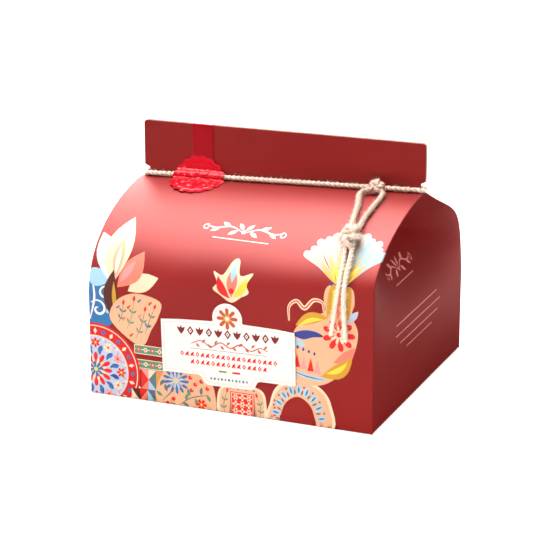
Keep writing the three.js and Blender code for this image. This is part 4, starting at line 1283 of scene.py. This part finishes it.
class CARTON_OT_stage(bpy.types.Operator):
    """Sets up the camera, the floor and the light"""

    bl_idname = "carton.stage"
    bl_label = "Stage"

    def execute(self, context):
        values = context.scene.carton_stage
        a, e = values.azimuth, values.elevation
        right = Vector((math.cos(a), math.sin(a), 0))
        back = Vector((math.sin(a) * math.cos(e), -math.cos(a) * math.cos(e), math.sin(e)))
        aim = right * values.shift_right + back.cross(right) * values.shift_up
        camera = bpy.data.objects.new("camera", bpy.data.cameras.new("camera"))
        camera.data.lens = values.lens
        camera.data.sensor_width = 36
        camera.data.clip_end = 50
        camera.location = aim + back * values.distance
        camera.rotation_mode = "QUATERNION"
        camera.rotation_quaternion = (-back).to_track_quat("-Z", "Y")
        scene = context.scene
        scene.collection.objects.link(camera)
        scene.camera = camera
        scene.view_settings.view_transform = "Standard"
        scene.view_settings.look = "None"

        mesh = bpy.data.meshes.new("floor")
        half, low = 8.0, -0.0004
        mesh.from_pydata([(-half, -half, low), (half, -half, low), (half, half, low), (-half, half, low)], [],
                         [(0, 1, 2, 3)])
        floor = placed("floor", mesh, material(studio_floor))

        # Each lamp's place, the way its back turns, its size and power, and whether it lights surfaces
        # directly and is seen in reflections.
        panels = {
            "overhead panel": ((-0.5, 0.5, 1.35), (0, 0, 1), values.panel_size, values.panel_power,
                               (True, True)),
            "front card": ((0.16, -0.4, 0.03), (0.12, -1, 0), (1.2, 0.06), values.card_power,
                           (True, False)),
            "side panel": ((1.6, 1.1, 0.15), (0.82, 0.57, 0.05), (0.8, 0.3), values.side_power,
                           (True, False)),
            "back panel": ((-0.95, 2.2, 1.25), (-0.4, 0.85, 0.35), (2.0, 1.1), values.back_power,
                           (False, True)),
            "floor card": ((0.6, 0.85, 0.002), (0, 0, -1), (0.9, 1.4), values.floor_power,
                           (False, True)),
        }
        floor.visible_glossy = False
        for name, (location, way, size, watts, reach) in panels.items():
            light = bpy.data.lights.new(name, "AREA")
            light.shape = "RECTANGLE"
            light.size, light.size_y = size
            light.energy = watts
            light.color = (1.0, 0.96, 0.91)
            lamp = bpy.data.objects.new(name, light)
            lamp.location = location
            lamp.visible_diffuse, lamp.visible_glossy = reach
            lamp.visible_camera = False
            lamp.rotation_mode = "QUATERNION"
            lamp.rotation_quaternion = Vector(way).to_track_quat("Z", "Y")
            scene.collection.objects.link(lamp)

        world = bpy.data.worlds.new("studio")
        world.use_nodes = True
        sky = world.node_tree.nodes["Background"].inputs
        sky["Color"].default_value = (1, 1, 1, 1)
        sky["Strength"].default_value = values.sky
        scene.world = world
        return {"FINISHED"}


class CARTON_OT_cord(bpy.types.Operator):
    """Makes the neck cord, its two knots, the strands between them and the loose tails"""

    bl_idname = "carton.cord"
    bl_label = "Cord"

    def execute(self, context):
        values = context.scene.carton_cord
        diameter, lay = values.diameter / MM, values.lay / MM
        # The knots and the strands between them take the darker, pinker copy of the cotton: painted shade.
        stuff, shaded_stuff = material(cotton), material(shaded_cotton)
        off = FIN_HALF + 0.3 + diameter / 2
        start, stop, lift = 84.0, 78.5, 2.4  # both ends run into the upper knot; lift is above the ridge
        left, right = NECK_ENDS

        def lie(x, y):
            """A place on the ridge beside the fin."""
            return (x, y, ridge_height(x) + lift)

        def rounded(end, way, angles):
            """The cord's way round an end of the neck."""
            turns = [math.radians(angle) for angle in angles]
            return [(end + off * 0.72 * math.cos(q) + way * 0.4, off * math.sin(q), ridge_height(end) + lift)
                    for q in turns]

        turn = [lie(x, -off) for x in np.arange(start, right, 7)] + rounded(right, 1, (-60, -20, 20, 60))
        turn += ([lie(x, off) for x in np.arange(right - 4, left, -14)]
                 + rounded(left, -1, (120, 160, 200, 240)))
        turn += [lie(x, -off) for x in np.arange(left + 4, stop, 14)] + [lie(stop, -off)]
        neck, neck_path = rope("cord_round_neck", fin_frame(np.array(turn)), diameter, stuff, lay, fibres=0.3)

        upper_centre = sum(boxed("cord_knot_upper")) / 2
        lower_centre = sum(boxed("cord_knot_lower")) / 2
        upper_line = knot_line(upper_centre + (-0.4, -0.6, 0.2), (4.6, 4.4, 2.0), 0.9, 0.5)
        lower_line = knot_line(lower_centre + (0, -1.5, -0.6), (6.0, 9.6, 3.4), 0.5, 2.6)
        upper, _ = rope("upper_knot", upper_line, diameter * 0.92, shaded_stuff, lay, closed=True)
        lower, _ = rope("lower_knot", lower_line, diameter * 1.05, shaded_stuff, lay, closed=True)

        routes = {
            "strand_left": [
                (77.5, -8.2, 158.6), (74.4, -10.6, 157.4), (71.9, -14, 156.6), (72.2, -20.5, 155.5),
                (74.4, -27, 154.2), (76.3, -34, 152.5), (78, -42, 150.4), (79.6, -50, 147.9),
                (81.2, -58, 146), (83, -67, 144.2), (85.4, -74, 143.6)],
            "strand_right": [
                (84.6, -8.8, 158.6), (88, -12.4, 157), (89, -19, 155.9), (88.9, -26, 154.6),
                (88.6, -33, 153.1), (88.2, -41, 151.1), (87.6, -49, 148.7), (87.8, -57, 146.6),
                (88.4, -66, 144.6), (87.2, -73, 144.2)],
            "tail_left": [
                (85.6, -75.5, 141.4), (84.8, -80, 138.4), (86.4, -88.3, 131.9), (87.2, -92.6, 127.8),
                (87.8, -97.1, 122.9), (88.1, -101.4, 117.4), (88, -104.7, 110.8), (87, -105.6, 103),
                (85.8, -105.6, 95), (84.6, -105.6, 87), (83.5, -105.6, 80), (82.8, -105.6, 73.6)],
            "tail_right": [
                (88.2, -75.5, 141.6), (89.2, -80, 138.8), (91.6, -87.9, 132.4), (92.2, -92.8, 128.2),
                (92.5, -97.4, 123.2), (92.7, -101.7, 117.7), (92.6, -104.9, 110.9), (92.4, -105.6, 103),
                (92.6, -105.6, 95), (93, -105.6, 87), (93.6, -105.6, 79), (93.9, -105.6, 70.2)],
        }
        # How thick each run lies, since a soft cord flattens and opens as it is handled.
        wear = {"strand_left": 1.04, "strand_right": 0.88, "tail_left": 0.76, "tail_right": 0.92}
        made = {}
        for name, points in routes.items():
            tail = "tail" in name
            width = diameter * wear[name]
            made[name] = *rope("cord_" + name + "_rope", np.array(points, float), width,
                               stuff if tail else shaded_stuff, lay * 0.85, start=1.0 + len(made),
                               ends=(1.0, 1.3 if tail else 1.0), fibres=1.1), width
        finished(neck, "cord_cotton", "cord_neck")
        finished(upper, "cord_cotton", "cord_knot_upper")
        finished(lower, "cord_cotton", "cord_knot_lower")
        for name, (piece, _, _) in made.items():
            finished(piece, "cord_cotton", "cord_" + name)
        return {"FINISHED"}


def board_stock(context):
    """The board's thickness and material, with its ground ink set as asked."""
    values = context.scene.carton_board
    INKS["red"] = tuple(values.red)
    INK_TABLE[INK_NAMES.index("red")] = INKS["red"]
    return values.thickness / MM, material(pearl_board)


class CARTON_OT_walls(bpy.types.Operator):
    """Folds the printed front, back and end walls, with the flaps that close the ends"""

    bl_idname = "carton.walls"
    bl_label = "Walls and roof"

    def execute(self, context):
        thickness, board = board_stock(context)
        for panel, art in (("front", front_art()), ("back", back_art())):
            form = RoofPanel(panel)
            piece = cut_sheet(panel + "_board", form.outline(), form.seeds(), art, form.surface, thickness,
                              board)
            finished(piece, "board", panel + "_panel")
        for end, name in enumerate(("left", "right")):
            wall = EndWall(end)
            piece = cut_sheet("end_board_" + name, wall.outline(), wall.seeds(), end_art(), wall.surface,
                              thickness, board)
            finished(piece, "board", "end_wall_" + name)
            for panel in ("front", "back"):
                grid = wall.flap(panel)
                piece = grid_sheet(f"end_fold_{name}_{panel}", grid, (wall.side, 0, 0.3), thickness, board)
                finished(piece, "board", f"end_flap_{name}_{panel}")
        return {"FINISHED"}


class CARTON_OT_fin(bpy.types.Operator):
    """Makes the closing fin's two plies and the ends tucked between them"""

    bl_idname = "carton.fin"
    bl_label = "Closing fin"

    def execute(self, context):
        thickness, board = board_stock(context)
        outline = np.array(fin_outline())
        inside = [(x, z) for x in np.arange(-106, 108, 6.0) for z in np.arange(162, 192, 3.0)]
        for way, name in ((1, "front"), (-1, "back")):
            def face(flat, way=way):
                x, z = way * flat[:, 0], flat[:, 1]
                y = -way * FIN_HALF + fin_wave(x, z)
                return fin_frame(np.stack([x, y, z], 1))
            ring = outline if way == 1 else (outline * (-1, 1))[::-1]
            seeds = [(way * x, z) for x, z in inside]
            piece = cut_sheet("fin_ply_" + name, ring, seeds, [], face, thickness, board)
            finished(piece, "board", "fin_" + name)
        tuck_top, tuck_foot, tuck_ply = 96, 62, 1.36  # the end wall's folded double ply between the two plies
        for end, way, name in ((NECK_ENDS[0] + 0.5, 1, "left"), (NECK_ENDS[1] - 0.5, -1, "right")):
            inner = end + way * tuck_top
            foot = end + way * tuck_foot
            ring = [(end, ridge_height(end) + 0.4), (foot, ridge_height(foot) + 0.4), (inner, FIN_TOP - 1),
                    (end, FIN_TOP - 1)]
            ring = np.array(ring if way == 1 else ring[::-1])

            def ply(flat):
                y = -tuck_ply / 2 + fin_wave(flat[:, 0], flat[:, 1])
                return fin_frame(np.stack([flat[:, 0], y, flat[:, 1]], 1))
            piece = cut_sheet("fin_tuck_ply_" + name, ring, [], [], ply, tuck_ply, board, lining="red")
            finished(piece, "board", "fin_tuck_" + name)
        return {"FINISHED"}


class CARTON_OT_base(bpy.types.Operator):
    """Lays the four base flaps, printed side down, and finishes the glue flap"""

    bl_idname = "carton.base"
    bl_label = "Base"

    def execute(self, context):
        _, board = board_stock(context)
        for name in ("front", "back", "left", "right"):
            node = "base_flap_" + name
            low, high = boxed(node)
            x0, y0, x1, y1 = low[0], low[1], high[0], high[1]
            if name in ("front", "back"):
                x0, x1 = -HALF_WIDTH + FOLD + 0.1, HALF_WIDTH - FOLD - 0.1
            if name == "front":
                y0 = -HALF_DEPTH + FOLD
            if name == "back":
                y1 = HALF_DEPTH - FOLD
            taper = 14 if name in ("left", "right") else 3
            ring = {
                "front": [(x0, -y1 + taper), (x0 + taper, -y1), (x1 - taper, -y1), (x1, -y1 + taper),
                          (x1, -y0), (x0, -y0)],
                "back": [(x0, -y1), (x1, -y1), (x1, -y0 - taper), (x1 - taper, -y0), (x0 + taper, -y0),
                         (x0, -y0 - taper)],
                "left": [(x0, -y1), (x1, -y1 + taper), (x1, -y0 - taper), (x0, -y0)],
                "right": [(x0, -y1 + taper), (x1, -y1), (x1, -y0), (x0, -y0 - taper)],
            }[name]
            level = low[2]

            def under(flat, level=level):
                return np.stack([flat[:, 0], -flat[:, 1], np.full(len(flat), level)], 1)

            piece = cut_sheet("base_ply_" + name, np.array(ring), [], [], under, high[2] - low[2], board)
            finished(piece, "board", node)
        clad("glue_flap", "board", plain_board)
        return {"FINISHED"}


class CARTON_OT_trim(bpy.types.Operator):
    """Makes the label, the tape over the fin and the seal across the cord"""

    bl_idname = "carton.trim"
    bl_label = "Label and seal"

    def execute(self, context):
        values = context.scene.carton_trim
        INKS["seal"] = tuple(values.seal_red)
        self.label(values.label_thickness / MM)
        self.tape()
        self.seal(values.seal_radius / MM, values.seal_scallops)
        return {"FINISHED"}

    def label(self, thickness):
        width, height, tilt = 108.0, 42.5, 0.026
        tab, drop, round_top = 22.0, 7.5, 12.0  # half the tab's width, its drop, the medallion's radius
        half, mid = width / 2, height / 2
        centre = np.array([0.6, 49.75])
        clear, curl_ends, curl_top = 0.75, 0.9, 0.5  # above the board, and where the paper lifts off it

        def mirrored(line):
            return [(-x, z) for x, z in line[::-1]]

        def rim(inset):
            """The label's outline, drawn in by an inset."""
            low, end, r = -mid + inset, half - inset, round_top - inset
            side = [(-end, low), (-tab - 3 + inset, low), (-tab - 0.8 + inset, low - 1.2),
                    (-tab + 1.5 + inset, low - drop + 1.6), (-tab + 4 + inset, low - drop + 0.2),
                    (-tab + 7 + inset, low - drop)]
            top = [(end, mid - 1 - inset), (end * 0.75, mid - 0.2 - inset), (end / 2, mid + 0.4 - inset),
                   (round_top + 1 - inset, mid + 0.9 - inset)]
            arc = [(r * math.cos(q), mid + 4 + r * math.sin(q)) for q in np.linspace(-0.2, math.pi + 0.2, 26)]
            return np.array(side + mirrored(side) + top + arc + mirrored(top))

        def face(flat):
            """The label's outer face, just in front of the board."""
            along, up = flat[:, 0], flat[:, 1]
            x = centre[0] + along * math.cos(tilt) - up * math.sin(tilt)
            z = centre[1] + along * math.sin(tilt) + up * math.cos(tilt)
            lift = curl_ends * np.clip((np.abs(along) - 40) / 14, 0, 1) ** 2
            lift = lift + curl_top * np.clip((up - 24) / 14, 0, 1) ** 2
            return np.stack([x, -HALF_DEPTH - clear - lift, z], 1)

        # The grey paper ring from 1.9 to 2.4 mm inside the rim is a painted shade line for an embossed
        # border.
        shapes = [("grey paper", rim(1.9)), ("paper", rim(2.4)), *label_art()]
        seeds = [(x, z) for x in np.arange(-52, 53, 4.0) for z in np.arange(-19, 20, 4.0)]
        piece = cut_sheet("paper_label", rim(0), seeds, shapes, face, thickness, material(linen_paper),
                          ground="paper", lining="grey paper", rim="paper")
        finished(piece, "label_paper", "label")

    def tape(self):
        left, right, low, thickness, clear = -71.6, -55.2, 168.4, 0.25, 0.62
        level, side = FIN_TOP + clear, FIN_HALF + clear
        rise = np.linspace(low, level - 0.8, 12)
        section = [(-side, z) for z in rise] + [(-side + 0.3, level - 0.25), (-side + 0.9, level)]
        section += [(-y, z) for y, z in section[::-1]]
        xs = np.linspace(left, right, 14)
        grid = np.array([[(x, y + fin_wave(x, z), z) for x in xs] for y, z in section])
        piece = grid_sheet("sealing_tape", fin_frame(grid), (0, 0, 1), thickness, material(red_foil), "foil",
                           lining="foil", rim="foil")
        finished(piece, "seal_foil", "seal_tape")

    def seal(self, radius, scallops):
        centre, top, thickness = -65.5, 170.0, 0.35
        panel = RoofPanel("front")
        foot = ridge_height(centre)
        face = -FIN_HALF - 1.05  # on the fin, over the tape
        front = face - 4.6  # in front of the cord

        def on_roof(y):
            """A place just above the roof."""
            place = fin_frame(np.array([[centre, y, 0]]))[0]
            return (y, panel.height_at(place[0], place[1]) + 1.2)

        # The seal runs down the fin, over the cord and out along the roof.
        course = [(face, top + 2), (face, top - 3), (face - 0.1, foot + 8.4), (face - 1.2, foot + 6.4),
                  (front + 1.4, foot + 5.2), (front - 0.3, foot + 3.0),
                  (front - 1.2, on_roof(front - 1.2)[1] + 0.4)]
        course += [on_roof(front - way) for way in (3.4, 8, 14, 20, 26)]
        line, run = even_path(np.array(course), 0.15)
        rings, sectors = 70, 216
        share = np.linspace(0.01, 1, rings)[:, None]
        angle = (np.arange(sectors) / sectors * 2 * math.pi)[None, :]
        r = (radius - 1.3 + 2.0 * np.abs(np.cos(scallops * angle / 2)) ** 0.7) * share
        across, down = r * np.cos(angle), radius + 1.1 - r * np.sin(angle) + 2
        y, z = np.interp(down, run, line[:, 0]), np.interp(down, run, line[:, 1])
        flat = np.stack([centre + across, y, z], -1)
        normals = unit(np.cross(np.roll(flat, -1, 1) - np.roll(flat, 1, 1), np.gradient(flat, axis=0)))
        if normals[..., 1].mean() > 0:
            normals = -normals

        # Embossed: a bead round a raised field, seven petals and a boss, then creases pressed by hand.
        bead, field_edge = 0.45 * np.exp(-((share - 0.8) / 0.026) ** 2), np.clip((0.8 - share) / 0.03, 0, 1)
        petals = np.clip(np.cos(7 * angle) * 3, 0, 1) * np.clip((0.2 - np.abs(share - 0.42)) * 14, 0, 1)
        boss = np.clip((0.15 - share) * 20, 0, 1)
        height = bead + 0.3 * field_edge + 0.4 * petals + 0.35 * boss
        for turn, shift, depth in ((0.31, 0.8, 0.4), (0.52, 2.9, 0.25), (0.17, 5.0, 0.3)):
            creases = np.sin(across * turn + 1.3 * np.sin(down * 0.16 + shift) + shift)
            height = height + depth * (1 - np.abs(creases)) ** 5 * np.clip(down - 21, 0, 6) / 6
        outer = fin_frame(flat + normals * height[..., None])
        turned = unit(np.cross(np.roll(outer, -1, 1) - np.roll(outer, 1, 1), np.gradient(outer, axis=0)))
        turned *= np.sign((turned * fin_frame_way(normals)).sum(-1))[..., None]
        triangles = grid_triangles(rings, sectors, round_way=True)
        points, facing = outer.reshape(-1, 3), turned.reshape(-1, 3)
        a, b, c = (points[triangles[:, i]] for i in range(3))
        if (np.cross(b - a, c - a) * facing[triangles[:, 0]]).sum() < 0:
            triangles = triangles[:, ::-1]
        # The seal's red, lighter than the tape's foil red, carries a painted highlight.
        inks, pearl = np.tile(INKS["seal"], (len(triangles), 1)), np.ones(len(triangles))
        piece = shell("foil_seal", points, facing, triangles, thickness, inks, pearl, material(red_foil),
                      "seal", "seal")
        finished(piece, "seal_foil", "seal")


def fin_frame_way(vectors):
    """Directions given along, across and above the ridge, in the carton's own axes."""
    return fin_frame(vectors) - fin_frame(np.zeros(3))


class CARTON_OT_loaf(bpy.types.Operator):
    """Finishes the loaf, its baking mould, the inner bag and the wire tie"""

    bl_idname = "carton.loaf"
    bl_label = "Wrapped loaf"

    def execute(self, context):
        clad("loaf", "crust", baked_crust)
        clad("baking_mould", "mould_paper", mould_paper)
        clad("inner_bag", "clear_film", clear_film)
        clad("bag_tie", "tie_wire", brass_wire)
        return {"FINISHED"}


class CARTON_PT_panel(bpy.types.Panel):
    """Lists the carton's making steps in order"""

    bl_idname = "CARTON_PT_panel"
    bl_label = "Tied carton"
    bl_space_type = "VIEW_3D"
    bl_region_type = "UI"
    bl_category = "Carton"

    def draw(self, context):
        for name in SETTINGS:
            group = getattr(context.scene, name)
            for key in group.bl_rna.properties.keys():
                if key not in ("rna_type", "name"):
                    self.layout.prop(group, key)
        for step in STEPS:
            self.layout.operator(step.bl_idname)


STEPS = (CARTON_OT_stage, CARTON_OT_cord, CARTON_OT_walls, CARTON_OT_fin, CARTON_OT_base, CARTON_OT_trim,
         CARTON_OT_loaf)


def register():
    for name, group in SETTINGS.items():
        bpy.utils.register_class(group)
        setattr(bpy.types.Scene, name, PointerProperty(type=group))
    for step in STEPS:
        bpy.utils.register_class(step)
    bpy.utils.register_class(CARTON_PT_panel)


def unregister():
    bpy.utils.unregister_class(CARTON_PT_panel)
    for step in reversed(STEPS):
        bpy.utils.unregister_class(step)
    for name, group in SETTINGS.items():
        delattr(bpy.types.Scene, name)
        bpy.utils.unregister_class(group)


def main():
    register()
    for step in STEPS:
        family, name = step.bl_idname.split(".")
        if getattr(getattr(bpy.ops, family), name)() != {"FINISHED"}:
            raise RuntimeError(step.bl_label + " didn't finish")


if __name__ == "__main__":
    main()
